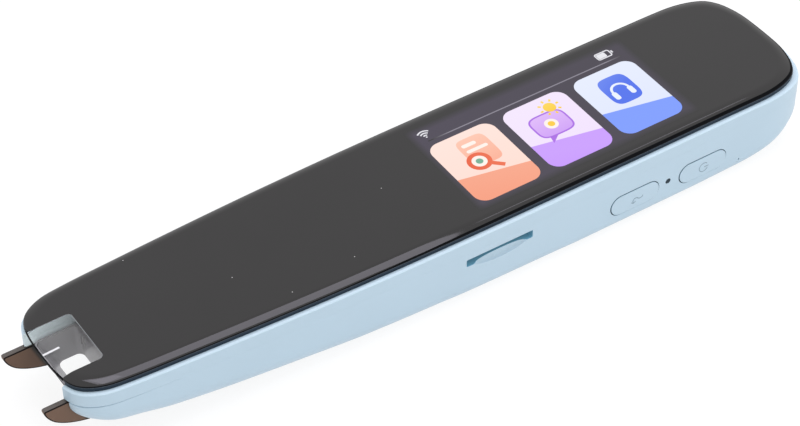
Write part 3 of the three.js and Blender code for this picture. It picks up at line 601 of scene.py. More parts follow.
foam = moulded("black_foam", (0.025, 0.025, 0.027), 0.9, 2200, 0.8, 0.25)
mesh_black = moulded("sound_mesh_black", linear(34, 46, 54), 0.6, 5200, 0.6, 0.4, ior=1.3)
led_window = moulded("led_window", linear(150, 148, 148), 0.25, 1500, 0.03, 0.06)
lens_glass = moulded("lens_glass", (0.01, 0.014, 0.03), 0.04, 600, 0.0, 0.2, ior=1.6, rough_spread=0.01)
panel_glass = moulded("panel_glass", (0.0135, 0.0125, 0.013), 0.045, 500, 0.004, 0.1, ior=1.5, patch=35,
                      rough_spread=0.015)
glass_rim = moulded("panel_glass_rim", (0.0035, 0.004, 0.005), 0.3, 2400, 0.01, 0.2, ior=1.12)
# painted highlight: a light grey line for the clear pane's edge
glass_edge_painted_highlight = moulded("glass_edge_painted_highlight", linear(138, 142, 144), 0.2, 1500, 0.02, 0.1)
display_off = moulded("display_glass", (0.02, 0.018, 0.024), 0.045, 500, 0.004, 0.1, ior=1.5,
                      rough_spread=0.015)
clear = clear_material()
# painted shade on the amber feet where they go in under the casing
paint_shade_inside(amber)
dust(panel_glass)
SLOT_LOOK = {"casing": casing, "panel_glass": panel_glass, "bezel": bezel_navy, "amber_plastic": amber,
             "smoke_plastic": smoke, "display": display_off, "steel": steel, "circuit_board": circuit,
             "chip": chip, "black_plastic": black, "white_plastic": white, "copper": gold_film,
             "battery_foil": foil, "foam": foam, "lens": lens_glass, "clear_pane": clear}


def glow(c, k=1.0):
    """The light a print gives off, so that with the reflection on it it shows the colour c."""
    return tuple(max(v * k - 0.045, 0) for v in linear(*c))


def fade_in(t, x0, x1, y0, y1, width):
    """Runs from 0 on the sides of a rectangle, in millimetres, to 1 at the width inside them."""
    xyz = t.nodes.new("ShaderNodeSeparateXYZ")
    t.links.new(place_of(t), xyz.inputs["Vector"])
    out = None
    for axis, edge, inside in (("X", x0, x0 + width), ("X", x1, x1 - width), ("Y", y0, y0 + width),
                               ("Y", y1, y1 - width)):
        k = ramp(t, xyz.outputs[axis], 0, 1, edge * MM, inside * MM)
        out = k if out is None else calculate(t, "MULTIPLY", out, k)
    return out


def lit(name, low, high=None, axis=None, span=(0.0, 1.0), soft=None):
    """A glowing print under the glass, of one colour or running from low to high along axis.
    soft gives x0, x1, y0, y1 and the width over which it fades in."""
    m, t, p = nodes_of(name)
    p.inputs["Base Color"].default_value = (0.0125, 0.012, 0.0125, 1)
    p.inputs["IOR"].default_value = 1.5
    p.inputs["Emission Strength"].default_value = 1.0
    grain = noise(t, 700.0, 2.0)
    t.links.new(ramp(t, grain, 0.04, 0.06), p.inputs["Roughness"])
    if axis:
        run = ramp(t, along(t, axis), 0, 1, span[0] * MM, span[1] * MM)
        colour = tint(t, run, glow(low), glow(high))
    else:
        colour = tint(t, ramp(t, grain, 0, 1), glow(low, 0.98), glow(low, 1.02))
    t.links.new(colour, p.inputs["Emission Color"])
    if soft:
        t.links.new(fade_in(t, *soft), p.inputs["Emission Strength"])
    return m


# Pieces
def put(obj, *materials):
    """Gives an object its materials."""
    obj.data.materials.clear()
    for m in materials:
        obj.data.materials.append(m)
    return obj


def add(obj, body, node=None):
    """Lets a piece ride on a body and hides the node it replaces."""
    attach(obj, body)
    if node:
        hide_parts(node)
    return obj


# Lower shell
def shell_room():
    """The hollow inside, with the nose and the screws' bosses left solid."""
    room = plan_body("room", belly_levels(WALL, 6) + [even(WALL, SHELL_TOP + 3)])
    bosses = [post("boss", BOSS_RADIUS, -3, 20, x, y) for x, y in SCREWS]
    return carve(room, [box("solid_nose", -90, CAVITY_FRONT, -20, 20, -3, 20)] + bosses)


def key_hole(x):
    sections = [(CUT_FRONT, 0.17), (-16.005, 0.17), (-15.97, 0.15), (CUT_REAR, 0.15)]
    return side_pill("key_cut", x, BUTTON_LINE, BUTTON_LENGTH, BUTTON_HEIGHT, sections)


def card_slot():
    """The slot's cut through (y, half length, half height, corner radius) sections, wider at its mouth."""
    sections = ((CUT_FRONT, 7.2, 0.95, 0.32), (-15.98, 7.1, 0.86, 0.27), (-15.85, 7.05, 0.8, 0.22),
                (CUT_REAR, 7.05, 0.8, 0.22))
    return loft("slot_cut", [[(CARD_X + u, y, CARD_LINE + v) for u, v in rounded(-a, a, -b, b, r)]
                             for y, a, b, r in sections])


def scoop():
    """A finger hollow under the card slot: half a flattened ball, through (y, share of its size) sections."""
    x, length, depth = CARD_X + 0.2, 6.25, 1.88
    sections = ((-18.0, 1.0), (-16.0, 1.0), (-15.75, 0.965), (-15.5, 0.9), (-15.3, 0.8), (-15.15, 0.64),
                (-15.06, 0.42), (-15.0, 0.12))
    rings = []
    for y, g in sections:
        turns = [math.pi + math.pi * k / 40 for k in range(41)]
        ring = [(x + length * g * math.cos(a), y, SCOOP_LINE + depth * g * math.sin(a)) for a in turns]
        ring.append((x + length * g, y, SCOOP_LINE + 0.3))
        ring.append((x - length * g, y, SCOOP_LINE + 0.3))
        rings.append(ring)
    return loft("scoop_cut", rings)


def port_hole():
    """The charging port's cut through (x, growth) sections, with a rounded mouth."""
    sections = ((82, 0.75), (79.2, 0.5), (79.0, 0.36), (78.7, 0.3), (74.5, 0.3))
    return loft("port_cut", [[(x, u, PORT_LINE + v) for u, v in pill(PORT_WIDTH, PORT_HEIGHT, g)]
                             for x, g in sections])


def grille():
    return [post("grille_cut", 0.5, -1, 3, SPEAKER_X + c * GRILLE_PITCH, SPEAKER_Y + r * GRILLE_PITCH, 20)
            for c in range(-2, 3) for r in range(-1, 2)]


def lower_shell():
    shell = plan_body("lower_shell_skin", belly_levels(0) + [
        seam(0, 0.1, -1), seam(0.03, 0.03, -1), seam(0.1, 0, -1)])
    cuts = [shell_room(),
            box("mouth_cut", -90, SHELL_CUT_REAR, -SHELL_CUT_HALF, SHELL_CUT_HALF, -3, 20),
            box("holder_cut", SHELL_CUT_REAR - 0.3, CAVITY_FRONT + 0.3, -SHELL_CUT_HALF, SHELL_CUT_HALF,
                HOLDER_BOTTOM - 0.3, 20),
            key_hole(POWER_X), key_hole(BACK_X), card_slot(), scoop(),
            side_hole("sound_cut", 0.6, MIC_X, MIC_LINE),
            side_hole("pin_cut", 0.22, RESET_X, RESET_LINE, 16),
            port_hole()]
    carve(shell, cuts + grille())
    mend(shell)
    put(smooth(shell), casing, casing_recess_painted_shade, slot_painted_shade)
    for f in shell.data.polygons:
        x, y, z = in_mm(f.center)
        wall = -15.99 < y < -14.55
        in_key_hole = min(abs(x - POWER_X), abs(x - BACK_X)) < 5.65 and abs(z - BUTTON_LINE) < 2.4
        in_slot = abs(x - CARD_X) < 7.08 and abs(z - CARD_LINE) < 0.83
        # painted shade on the walls of the key holes
        if wall and in_key_hole and abs(f.normal.y) < 0.9:
            f.material_index = 1
        # painted shade on the card slot's walls
        if wall and in_slot and abs(f.normal.y) < 0.9:
            f.material_index = 2
    add(shell, "casing", "lower_shell")


# Upper frame and bezel
def upper_frame():
    """The frame on the lower shell: a plate with a raised rim, notched at the tip."""
    rounding = [(0, 12.6), (0, 14.08), (0.02, 14.19), (0.07, 14.28), (0.15, 14.35), (0.25, 14.4),
                (0.36, 14.44), (0.5, 14.46), (0.72, BEZEL_BOTTOM)]
    body = plan_body("upper_frame_skin", [
        seam(0, -0.02, -1, 0.3), seam(0, 0, 1, 0.3), seam(0.1, 0, 1), seam(0.03, 0.03, 1), seam(0, 0.1, 1)]
        + [even(i, z) for i, z in rounding])
    pocket = plan_body("pocket", [even(WALL, PLATE_TOP), even(WALL, 20)])
    carve(pocket, [box("solid_front", -90, NOTCH_REAR + 0.8, -20, 20, -3, 30)])
    carve(body, [pocket, box("notch", -90, NOTCH_REAR, -NOTCH_HALF, NOTCH_HALF, -3, 30)])
    mend(body)
    put(smooth(body), casing, notch_wall_painted_light, casing_edge_painted_highlight)
    for f in body.data.polygons:
        x, y, z = in_mm(f.center)
        # painted light on the notch's walls
        if abs(abs(y) - NOTCH_HALF) < 0.01 and x < NOTCH_REAR:
            f.material_index = 1
        # painted highlight on the frame's rounded upper edge
        elif z > 14.09:
            f.material_index = 2
    add(body, "casing", "upper_frame")


def panel_bezel():
    body = plan_body("panel_bezel_skin", [
        panel(0.12, BEZEL_BOTTOM + 0.01), panel(0.03, BEZEL_BOTTOM + 0.06), panel(0.03, GLASS_BOTTOM - 0.12),
        panel(-0.03, GLASS_BOTTOM - 0.1), panel(-0.05, GLASS_BOTTOM - 0.04), panel(0.0, GLASS_BOTTOM - 0.005),
        panel(0.12, GLASS_BOTTOM)])
    carve(body, [box("notch", -90, BEZEL_NOTCH, -NOTCH_HALF, NOTCH_HALF, -3, 30),
                 box("screen_room", 2.5, 56.1, -13.9, 13.9, -3, 30)])
    mend(body)
    put(smooth(body), bezel_navy, bezel_lip_painted_highlight)
    for f in body.data.polygons:
        # painted highlight on the lip's upright faces under the glass
        if f.center.z > (GLASS_BOTTOM - 0.11) * MM and abs(f.normal.z) < 0.99:
            f.material_index = 1
    add(body, "casing", "panel_bezel")


# Cover glass and the clear window in it
def glass_height(inset):
    """Height of the glass's round edge at an inset from its outline."""
    if inset < GLASS_LOW[-1][0]:
        return float(np.interp(inset, *zip(*GLASS_LOW)))
    return GLASS_TOP - GLASS_BULGE * max(GLASS_ROUND - inset, 0) ** 2


def rim_reach(share):
    """How far in the black rim of the glass reaches: narrow at the tip, wide at the tail."""
    return RIM_NARROW + (RIM_WIDE - RIM_NARROW) * ease((share - RIM_GROWS_FROM) / RIM_GROWS_OVER)


def glass_ring(place):
    """A ring of the glass's round edge: place runs from 0 to 1 on the rim and from 1 to 2 above it."""
    def level(s):
        reach = rim_reach(s)
        inset = reach * place if place <= 1 else reach + (GLASS_ROUND - reach) * (place - 1)
        return panel(inset, glass_height(inset))(s)
    return level


def glass_body(name):
    """The whole glass, before the clear window is parted from it."""
    foot = [(0.1, 15.43), (0.02, 15.46), (0.0, 15.52), (0.0, 15.6)]
    edge = [0.15, 0.4, 0.7, 1.0, 1.04, 1.1, 1.18, 1.28, 1.39, 1.5, 1.61, 1.72, 1.83, 1.93]
    top = [(2.1, GLASS_TOP), (3.6, GLASS_TOP)]
    return plan_body(name, [panel(i, z) for i, z in foot] + [glass_ring(k) for k in edge]
                     + [panel(i, z) for i, z in top])


def window_prism(margin):
    """The clear window's outline, wider at the foot of the glass than at its top."""
    near = WINDOW_NEAR - margin
    low = rounded(-85, WINDOW_REAR_LOW + margin, near, WINDOW_FAR_LOW + margin, 1.2)
    high = rounded(-85, WINDOW_REAR_TOP + margin, near, WINDOW_FAR_TOP + margin, 0.9)
    rings = ((14.6, low), (15.45, low), (GLASS_TOP, high), (17.5, high))
    return loft("window_cut", [[(u, v, z) for u, v in ring] for z, ring in rings])


def cover_glass():
    """The glass, with the hole for the clear window and a black rim along its foot."""
    body = glass_body("cover_glass_skin")
    carve(body, [window_prism(0.02)])
    mend(body)
    put(smooth(body, 35), panel_glass, glass_rim)
    for f in body.data.polygons:
        x, y, z = in_mm(f.center)
        window_wall = x < TIP + 9.6 and abs(y) < 6.75 and z < 16.1 and f.normal.z < 0.9
        if window_wall or z < glass_height(rim_reach((x - TIP) / LENGTH)) + 0.01:
            f.material_index = 1
    add(body, "casing", "cover_glass")


def viewing_window():
    """The clear pane, black on its front edge, and the black strip under that edge."""
    body = glass_body("viewing_window_skin")
    carve(body, [window_prism(0.0)], "INTERSECT")
    mend(body)
    put(smooth(body, 35), clear, glass_rim)
    for f in body.data.polygons:
        x, z = f.center.x / MM, f.center.z / MM
        if x < TIP + 1.2 and z < 16.1 and f.normal.x < -0.3 and abs(f.normal.z) < 0.8:
            f.material_index = 1
    line = plan_body("window_front_line", [
        panel(-0.03, 15.2), panel(-0.05, 15.23), panel(-0.05, 15.44), panel(-0.03, 15.47)])
    carve(line, [box("front_strip", TIP, TIP + 1.6, -6.72, 6.47, 15, 16)], "INTERSECT")
    carve(line, [plan_body("behind", [panel(0.2, 15), panel(0.2, 16)])])
    mend(line)
    add(put(smooth(line, 35), glass_rim), "casing")
    add(body, "casing", "viewing_window")


# Hood of the scan mouth
def mouth_ring(z, front, rear, half, radius):
    """A level ring of the mouth, whose front leans back towards the bottom."""
    slope = MOUTH_LEAN / (PLATE_TOP - MOUTH_BOTTOM)
    x0 = MOUTH_FRONT + front + slope * (PLATE_TOP - z)
    return [(u, v, z) for u, v in rounded(x0, MOUTH_REAR + rear, -half, half, radius, 8)]


def scan_hood():
    low, high = MOUTH_BOTTOM, PLATE_TOP
    bucket = loft("scan_hood_skin", [
        mouth_ring(low, 0.12, 0.5, HOOD_HALF - 0.12, 1.3), mouth_ring(low + 0.12, 0, 0.5, HOOD_HALF, 1.4),
        mouth_ring(high - 0.12, 0, 0.5, HOOD_HALF, 1.4), mouth_ring(high, 0.12, 0.5, HOOD_HALF - 0.12, 1.3)])
    carve(bucket, [
        box("holder", MOUTH_REAR + 0.2, HOLDER_REAR, -HOOD_HALF, HOOD_HALF, HOLDER_BOTTOM, SHELL_TOP),
        box("apron", MOUTH_REAR, MOUTH_REAR + 0.5, -HOOD_HALF, HOOD_HALF, PLATE_TOP - 1, 14.4)], "UNION")
    cuts = [
        loft("mouth_room", [
            mouth_ring(16.0, 0.45, 0, MOUTH_HALF, 1.0), mouth_ring(high, 0.45, 0, MOUTH_HALF, 1.0),
            mouth_ring(high - 0.12, 0.5, 0, MOUTH_HALF - 0.05, 1.0),
            mouth_ring(low + 0.15, 0.5, 0, MOUTH_HALF - 0.05, 1.2),
            mouth_ring(low - 1, 0.35, 0, MOUTH_HALF + 0.1, 1.3)]),
        box("camera_room", -63.9, HOLDER_REAR + 2, -3.6, 3.6, 7.3, 20)]
    for y in (-4.7, 4.7):
        cuts.append(box("led_cut", MOUTH_REAR - 1, MOUTH_REAR + 1.3, y - 0.75, y + 0.75,
                        LENS_LEVEL - 1.15, LENS_LEVEL + 1.15))
    carve(bucket, cuts)
    mend(bucket)
    put(smooth(bucket, 30), smoke, smoke_painted_shade)
    for f in bucket.data.polygons:
        x, y, z = in_mm(f.center)
        front = MOUTH_FRONT + 0.505 * (PLATE_TOP - z) + max(0, abs(y) - 5)
        outer_wall = f.normal.x < -0.2 and x < front + 0.35
        top_rim = f.normal.z > 0.5 and x < front + 0.5
        # painted shade on the hood's outer front wall and top rim near the clear pane
        if z < PLATE_TOP + 0.01 and (outer_wall or top_rim):
            f.material_index = 1
    add(bucket, "casing", "scan_hood")


# Nib
def foot_outline():
    height = SHELL_TOP - FOOT_BOTTOM
    stations = [(FOOT_FRONT + a * FOOT_LENGTH, SHELL_TOP - d * height) for a, d in FOOT]
    front = [tuple(q) for q in through(stations, 0.35)]
    rear = FOOT_FRONT + 13.8
    return front + [(rear, FOOT_BOTTOM), (rear + 0.6, 6.7), (BAR_REAR, 6.7), (BAR_REAR, 9.2),
                    (-60.75, 9.2), (-63.75, SHELL_TOP)]


def shrink(points, d):
    """A closed outline moved inwards by d."""
    p = np.array(points, float)
    turn = np.sign(sum(p[i - 1][0] * p[i][1] - p[i][0] * p[i - 1][1] for i in range(len(p))))
    out = []
    for i in range(len(p)):
        a, b = p[i] - p[i - 1], p[(i + 1) % len(p)] - p[i]
        na, nb = (np.array([-v[1], v[0]]) / max(np.hypot(*v), 1e-9) * turn for v in (a, b))
        n = na + nb
        n = n / max(n.dot(n) / 2, 0.4)
        out.append(tuple(p[i] + n * d))
    return out


def nib_frame():
    """Two feet with rounded edges, through (shrink, y from the middle) sections, and their bar."""
    lines, middle, half = foot_outline(), (FOOT_IN + FOOT_OUT) / 2, (FOOT_OUT - FOOT_IN) / 2
    edge = [(0.25, half), (0.12, half), (0.05, half - 0.03), (0.0, half - 0.13)]
    sections = [(d, -y) for d, y in edge] + [(d, y) for d, y in reversed(edge)]
    feet = [loft("foot", [[(u, s * middle + y, v) for u, v in shrink(lines, d)] for d, y in sections])
            for s in (-1, 1)]
    nib = box("nib_frame_skin", BAR_FRONT, BAR_REAR, -FOOT_IN - 0.3, FOOT_IN + 0.3, 6.8, 9.1)
    carve(nib, feet, "UNION")
    mend(nib)
    put(nib, amber, amber_edge_painted_shade, amber_top_painted_sheen)
    # the feet's sides keep the amber; the rounded edges get painted shade and the top faces a painted sheen
    for f in nib.data.polygons:
        across = abs(f.normal.y) < 0.1
        side = len(f.vertices) > 8
        if side or (across and f.normal.z < 0.7):
            f.material_index = 0
        else:
            f.material_index = 2 if across and f.normal.z > 0.7 else 1
    smooth(nib, 40)
    add(nib, "nib", "nib_frame")


# Side keys with raised signs
def key(name, x, body, node):
    cap = side_pill(name, x + 0.05, BUTTON_LINE - 0.04, BUTTON_LENGTH, BUTTON_HEIGHT, [
        (-13.4, 0.6), (-14.18, 0.6), (-14.2, 0.0), (-16.0, 0.0), (-16.03, 0.0), (-16.08, -0.02),
        (-16.1, -0.06), (-16.105, -0.16), (-16.105, -0.9)])
    put(smooth(cap, 40), casing, casing_recess_painted_shade)
    for f in cap.data.polygons:
        # painted shade on the key's sides inside its hole
        f.material_index = 1 if f.center.y > -16.01 * MM else 0
    add(cap, body, node)


def ribbon(name, lines, width, place, material, body, closed=False):
    """A flat strip along points in a plane. place turns (u, v, height) into x, y, z: height is 0 or 1."""
    pts = [np.array(q, float) for q in lines]
    n = len(pts)
    verts, faces = [], []
    for i in range(n):
        a = pts[(i - 1) % n] if closed or i > 0 else pts[i]
        b = pts[(i + 1) % n] if closed or i < n - 1 else pts[i]
        d = (b - a) / max(np.linalg.norm(b - a), 1e-9)
        across = np.array([-d[1], d[0]]) * width / 2
        left, right = pts[i] + across, pts[i] - across
        verts += [place(*left, 0), place(*right, 0), place(*right, 1), place(*left, 1)]
    for i in range(n if closed else n - 1):
        j = (i + 1) % n
        for k in range(4):
            faces.append((4 * i + k, 4 * i + (k + 1) % 4, 4 * j + (k + 1) % 4, 4 * j + k))
    if not closed:
        faces += [(0, 1, 2, 3), tuple(4 * (n - 1) + k for k in (3, 2, 1, 0))]
    add(put(make(name, verts, faces), material), body)


def key_sign(name, lines, width, body):
    """A line raised from a key's face."""
    def place(u, v, h):
        return (u, KEY_FACE - SIGN_HEIGHT * h, v)
    ribbon(name, lines, width, place, casing_sign, body)


def signs():
    u, v = POWER_X + 0.2, BUTTON_LINE - 0.25
    key_sign("power_sign", arc(u, v, 1.0, 40, 335, 28), 0.16, "power_key")
    key_sign("power_sign_bar", [(u + 0.15, v), (u + 1.15, v)], 0.16, "power_key")
    u, v = BACK_X + 0.5, BUTTON_LINE - 0.5
    hook = [(u + 1.25, v + 0.55), (u + 1.05, v + 0.2), (u + 0.5, v + 0.15), (u + 0.1, v + 0.35)]
    key_sign("back_sign", hook + arc(u - 0.35, v, 0.62, 50, 215, 12), 0.18, "back_key")
    head = [(u - 1.35, v - 0.1), (u - 0.9, v - 0.5), (u - 0.35, v - 0.2)]
    key_sign("back_sign_head", head, 0.18, "back_key")


def sound_mesh():
    sections = ((-15.5, 0.59), (-15.9, 0.59), (-15.94, 0.5), (-15.95, 0.3))
    rings = [[(MIC_X + u, y, MIC_LINE + v) for u, v in circle(r, 24)] for y, r in sections]
    add(put(smooth(loft("sound_mesh", rings)), mesh_black), "casing")


# Lines of the clear window
def window_edge_painted_highlight():
    """A painted highlight: the light line along the clear window's far and rear edges, where the pane's edge
    catches light.
    """
    def place(u, v, h):
        return (u, v, glass_height(u - TIP - FRONT_RIM - 0.2) - SUNK + 0.012 * h)
    rear, near, far, r = TIP + 8.68, -6.61, 5.39, 0.84
    path = [(x, far) for x in np.linspace(-74.7, -72.8, 14)] + [(rear - r, far)]
    path += arc(rear - r, far - r, r, 90, 0, 8)[1:] + [(rear, near + r)]
    path += arc(rear - r, near + r, r, 0, -80, 8)[1:]
    ribbon("window_edge_painted_highlight", path, 0.11, place, glass_edge_painted_highlight, "casing")


def guide_line():
    """White aiming line printed under the clear pane."""
    path = [(-74.95, -0.29), (-71.8, -0.14)]
    ribbon("guide_line", path, 0.42, lambda u, v, h: (u, v, 15.72 + 0.02 * h), white_line, "casing")


# Screen prints, drawn on the level of the display and moved up the camera's line of sight to the glass
def to_glass(u, v):
    """Where a point of the drawing lies on the glass."""
    x, y = u + DRAWING_AT[0], v + DRAWING_AT[1]
    k = (GLASS_TOP - DRAWING_LEVEL) / (CAMERA_PLACE[2] - DRAWING_LEVEL)
    return x - (x - CAMERA_PLACE[0]) * k, y - (y - CAMERA_PLACE[1]) * k


def flat_shape(name, points, level, material):
    """A filled print, level above the glass."""
    ring = [to_glass(u, v) for u, v in points]
    obj = loft(name, [[(x, y, GLASS_TOP + z) for x, y in ring] for z in (-SUNK, level)])
    add(put(obj, material), "casing")


def line_shape(name, points, width, level, material, closed=False):
    """A printed line, level above the glass."""
    def place(u, v, h):
        return (*to_glass(u, v), GLASS_TOP - SUNK + h * (level + SUNK))
    ribbon(name, points, width, place, material, "casing", closed)


def disc(cu, cv, r):
    return arc(cu, cv, r, 0, 351, 39)


def squircle(cu, cv, a, b, power, steps=64):
    """A shape between an ellipse and a rectangle."""
    out = []
    for k in range(steps):
        c, s = math.cos(2 * math.pi * k / steps), math.sin(2 * math.pi * k / steps)
        u = math.copysign(abs(c) ** (2 / power), c)
        v = math.copysign(abs(s) ** (2 / power), s)
        out.append((cu + a * u, cv + b * v))
    return out


def clip_below(points, u0, v0, u1, v1):
    """The part of a closed outline that lies under the line through two points."""
    def side(q):
        return (q[1] - v0) - (v1 - v0) * (q[0] - u0) / (u1 - u0)
    out = []
    for i, q in enumerate(points):
        r = points[(i + 1) % len(points)]
        if side(q) <= 0:
            out.append(q)
        if side(q) * side(r) < 0:
            k = side(q) / (side(q) - side(r))
            out.append((q[0] + (r[0] - q[0]) * k, q[1] + (r[1] - q[1]) * k))
    return out


def tile(index, u0, u1, pale, deep):
    """A round-cornered tile, pale above a slanting line and deeper in colour under it."""
    outline = rounded(u0, u1, -10.13, 7.53, 2.4, 10)
    low = lit("tile_%d_pale" % index, pale[0], pale[1], (0, 1, 0), (-9, 8))
    strong = lit("tile_%d_deep" % index, deep[0], deep[1], (0.3, 1, 0), (-9, 0))
    flat_shape("screen_tile_%d" % index, outline, 0.008, low)
    flat_shape("screen_tile_%d_base" % index, clip_below(outline, u0, -2.76, u1, -5.7), 0.012, strong)


def reading_glass_icon(pale):
    """A reading glass over two lines of a card."""
    card = lit("icon_card", (250, 176, 150), (253, 200, 178), (0, 1, 0), (-4, 5))
    deep = lit("icon_deep_orange", (232, 98, 66), (243, 128, 92), (1, 0, 0), (8, 20))
    green = lit("icon_green", (120, 176, 150))
    flat_shape("icon_card_shape", squircle(7.9, 1.9, 3.1, 3.9, 5), 0.018, card)
    flat_shape("icon_card_mark", rounded(5.6, 8.6, 3.6, 4.5, 0.42), 0.022, pale)
    flat_shape("icon_card_mark_2", rounded(5.6, 10.1, 2.0, 2.8, 0.38), 0.022, pale)
    flat_shape("icon_glass_disc", disc(6.2, -0.7, 2.35), 0.024, deep)
    flat_shape("icon_glass_pane", disc(6.2, -0.7, 1.45), 0.026, pale)
    flat_shape("icon_glass_spot", disc(6.2, -0.7, 0.7), 0.028, green)
    line_shape("icon_glass_grip", [(7.9, -2.3), (9.6, -3.9)], 0.95, 0.0235, deep)


def bubble_icon(pale):
    """A speech bubble with a sun."""
    violet = lit("icon_violet", (206, 160, 246), (230, 196, 250), (0, 1, 0), (-4, 5))
    edge = lit("icon_violet_edge", (172, 112, 228))
    yellow = lit("icon_yellow", (252, 206, 70), (255, 232, 120), (0, 1, 0), (2, 9))
    bubble = squircle(22.9, 0.4, 3.7, 3.0, 4)
    flat_shape("icon_bubble", bubble, 0.018, violet)
    line_shape("icon_bubble_rim", bubble, 0.35, 0.021, edge, True)
    flat_shape("icon_bubble_tail", [(20.6, -2.2), (22.6, -2.4), (20.2, -4.2)], 0.0175, edge)
    flat_shape("icon_bubble_dot", disc(22.9, 0.4, 1.35), 0.023, pale)
    flat_shape("icon_bubble_core", disc(22.9, 0.4, 0.7), 0.025, yellow)
    sun = (25.3, 4.3)
    flat_shape("icon_sun", disc(*sun, 1.25), 0.024, yellow)
    for k in range(8):
        a = math.radians(45 * k + 10)
        ray = [(sun[0] + r * math.cos(a), sun[1] + r * math.sin(a)) for r in (1.6, 2.2)]
        line_shape("icon_ray_%d" % k, ray, 0.42, 0.0245, yellow)


def headphones_icon():
    """Headphones on a round-cornered square."""
    blue = lit("icon_blue", (84, 116, 236), (124, 152, 244), (-0.5, 1, 0), (-22, -12))
    snow = lit("icon_white", (236, 242, 255))
    middle, reach = 39.2, 1.75
    flat_shape("icon_square", squircle(middle, 1.3, 3.2, 3.9, 4), 0.018, blue)
    line_shape("icon_band", arc(middle, 1.0, reach, 0, 180, 24), 0.5, 0.022, snow)
    for s in (-1, 1):
        u = middle + s * reach
        flat_shape("icon_cup_%d" % (s + 1), rounded(u - 0.55, u + 0.55, -1.1, 1.1, 0.5), 0.024, snow)


def status():
    """The bar over the tiles: a rule, a signal sign and a battery sign."""
    light = lit("status_white", (232, 232, 238))
    faint = lit("status_line", (140, 136, 148), soft=(8.0, 51.0, -20, 20, 4.0))
    line_shape("status_rule", [(1.6, 8.86), (45.3, 8.86)], 0.26, 0.01, faint)
    for k, r in enumerate((0.55, 1.15, 1.75)):
        line_shape("status_signal_%d" % k, arc(2.0, 9.95, r, 48, 132, 12), 0.3, 0.012, light)
    line_shape("status_signal_dot", [(1.85, 9.97), (2.15, 9.97)], 0.3, 0.012, light)
    line_shape("status_cell", rounded(41.0, 44.1, 10.0, 11.7, 0.35), 0.26, 0.012, light, True)
    flat_shape("status_cell_fill", rounded(41.2, 43.1, 10.2, 11.5, 0.2), 0.012, light)
    flat_shape("status_cell_knob", rounded(44.35, 44.7, 10.5, 11.2, 0.12), 0.012, light)


def screen():
    u0, u1, v0, v1 = -1.2, 48.0, -11.6, 13.2
    x0, y0 = to_glass(u0, v0)
    x1, y1 = to_glass(u1, v1)
    ground = lit("screen_ground", (80, 75, 88), (74, 70, 80), (1, 0, 0), (0, 50), (x0, x1, y0, y1, 1.6))
    flat_shape("screen_area", rounded(u0, u1, v0, v1, 0.4), 0.004, ground)
    tile(1, 0.0, 13.94, ((255, 222, 210), (255, 229, 220)), ((246, 160, 130), (248, 170, 142)))
    tile(2, 16.03, 29.97, ((241, 226, 252), (244, 231, 252)), ((197, 150, 254), (203, 160, 255)))
    tile(3, 32.06, 46.0, ((224, 231, 252), (231, 237, 253)), ((122, 152, 254), (128, 158, 255)))
    pale = lit("icon_pale", (255, 244, 236))
    reading_glass_icon(pale)
    bubble_icon(pale)
    headphones_icon()
    status()


# Camera, light and floor
def camera():
    forward = Vector((0.39999, 0.61105, -0.68311)).normalized()
    right = Vector((0.83391, -0.55188, -0.00538)).normalized()
    up = right.cross(forward).normalized()
    data = bpy.data.cameras.new("camera")
    data.sensor_fit = "HORIZONTAL"
    data.sensor_width = SENSOR
    data.lens = FOCAL / PICTURE_WIDTH * SENSOR
    data.clip_start = 0.01
    data.clip_end = 20
    cam = bpy.data.objects.new("camera", data)
    turn = Matrix((right, up, -forward)).transposed().to_4x4()
    cam.matrix_world = Matrix.Translation(Vector(CAMERA_PLACE) * MM) @ turn
    bpy.context.scene.collection.objects.link(cam)
    bpy.context.scene.camera = cam


def lamp(name, place, aim, wide, deep, level, colour=(1, 1, 1), mirrored=True):
    """A rectangular lamp, whose face has the brightness level. Only a mirrored one shows in glossy faces."""
    data = bpy.data.lights.new(name, "AREA")
    data.shape = "RECTANGLE"
    data.size = wide
    data.size_y = deep
    data.color = colour
    data.energy = level * wide * deep * math.pi
    obj = bpy.data.objects.new(name, data)
    obj.location = place
    obj.rotation_euler = (Vector(aim) - Vector(place)).to_track_quat("-Z", "Y").to_euler()
    obj.visible_glossy = mirrored
    bpy.context.scene.collection.objects.link(obj)


def seen_directly(t):
    """1 for rays from the camera and from glossy or clear surfaces, 0 for others."""
    path = t.nodes.new("ShaderNodeLightPath").outputs
    glossy = calculate(t, "MAXIMUM", path["Is Camera Ray"], path["Is Glossy Ray"])
    return calculate(t, "MAXIMUM", glossy, path["Is Transmission Ray"])


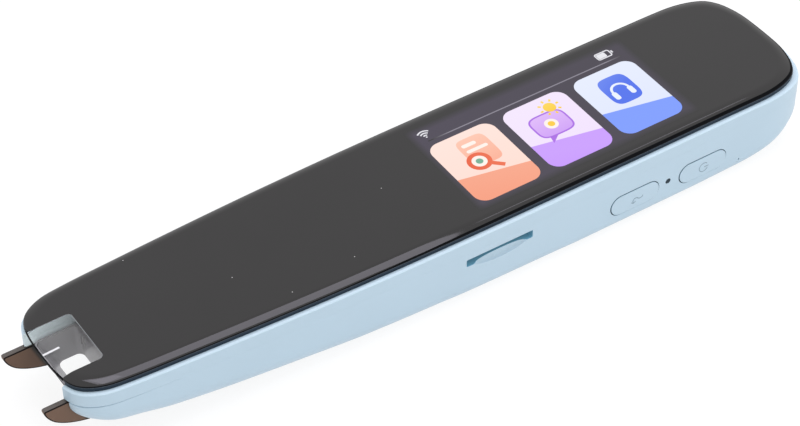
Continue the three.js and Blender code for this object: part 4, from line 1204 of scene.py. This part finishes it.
def floor():
    m, t, p = nodes_of("floor_white")
    p.inputs["Roughness"].default_value = 0.9
    p.inputs["Specular IOR Level"].default_value = 0.0
    p.inputs["Emission Color"].default_value = (1, 1, 1, 1)
    seen = seen_directly(t)
    t.links.new(ramp(t, seen, 0.0, 0.84, 0, 1), p.inputs["Emission Strength"])
    t.links.new(tint(t, seen, (0.8, 0.8, 0.8), (0.2, 0.2, 0.2)), p.inputs["Base Color"])
    put(post("floor", 3000, -2.0, -0.02, 0, 0, 64), m)


def studio():
    world = bpy.data.worlds.new("studio")
    bpy.context.scene.world = world
    world.use_nodes = True
    t = world.node_tree
    back = t.nodes["Background"]
    back.inputs["Color"].default_value = (1, 1, 1, 1)
    t.links.new(ramp(t, seen_directly(t), 0.62, 1.0, 0, 1), back.inputs["Strength"])
    # Lamps overhead, as (x0, x1, y0, y1, height, level) in metres
    overhead = ((-0.1, 0.27, -0.2, 0.2, 0.62, 2.3), (-0.07, 0.05, -0.08, 0.15, 0.6, 1.2),
                (0.27, 0.42, 0.065, 0.1, 0.58, 2.0))
    for k, (x0, x1, y0, y1, z, level) in enumerate(overhead):
        x, y = (x0 + x1) / 2, (y0 + y1) / 2
        lamp("overhead_%d" % k, (x, y, z), (x, y, 0), x1 - x0, y1 - y0, level, (1, 0.96, 1.12))
    lamp("front_fill", (-0.05, -0.85, 0.5), (0, 0, 0), 1.3, 0.9, 0.8, mirrored=False)
    lamp("back_fill", (0.1, 0.85, 0.5), (0, 0, 0), 1.3, 0.9, 0.6, mirrored=False)
    lamp("tail_fill", (0.75, -0.35, 0.45), (0.05, 0, 0), 0.5, 0.5, 1.0, mirrored=False)


def dress_nodes():
    """Gives every CAD node that shows through an opening the material of its slot."""
    slots = {s["node"]: s["material_slot"] for s in frame["record"]["subparts"]}
    for name, obj in frame["nodes"].items():
        put(obj, led_window if name.startswith("scan_led") else SLOT_LOOK[slots[name]])


dress_nodes()
lower_shell()
upper_frame()
panel_bezel()
cover_glass()
viewing_window()
scan_hood()
nib_frame()
key("power_key_skin", POWER_X, "power_key", "power_button")
key("back_key_skin", BACK_X, "back_key", "back_button")
signs()
sound_mesh()
window_edge_painted_highlight()
guide_line()
screen()
camera()
floor()
studio()
bpy.context.scene.view_settings.view_transform = "Standard"
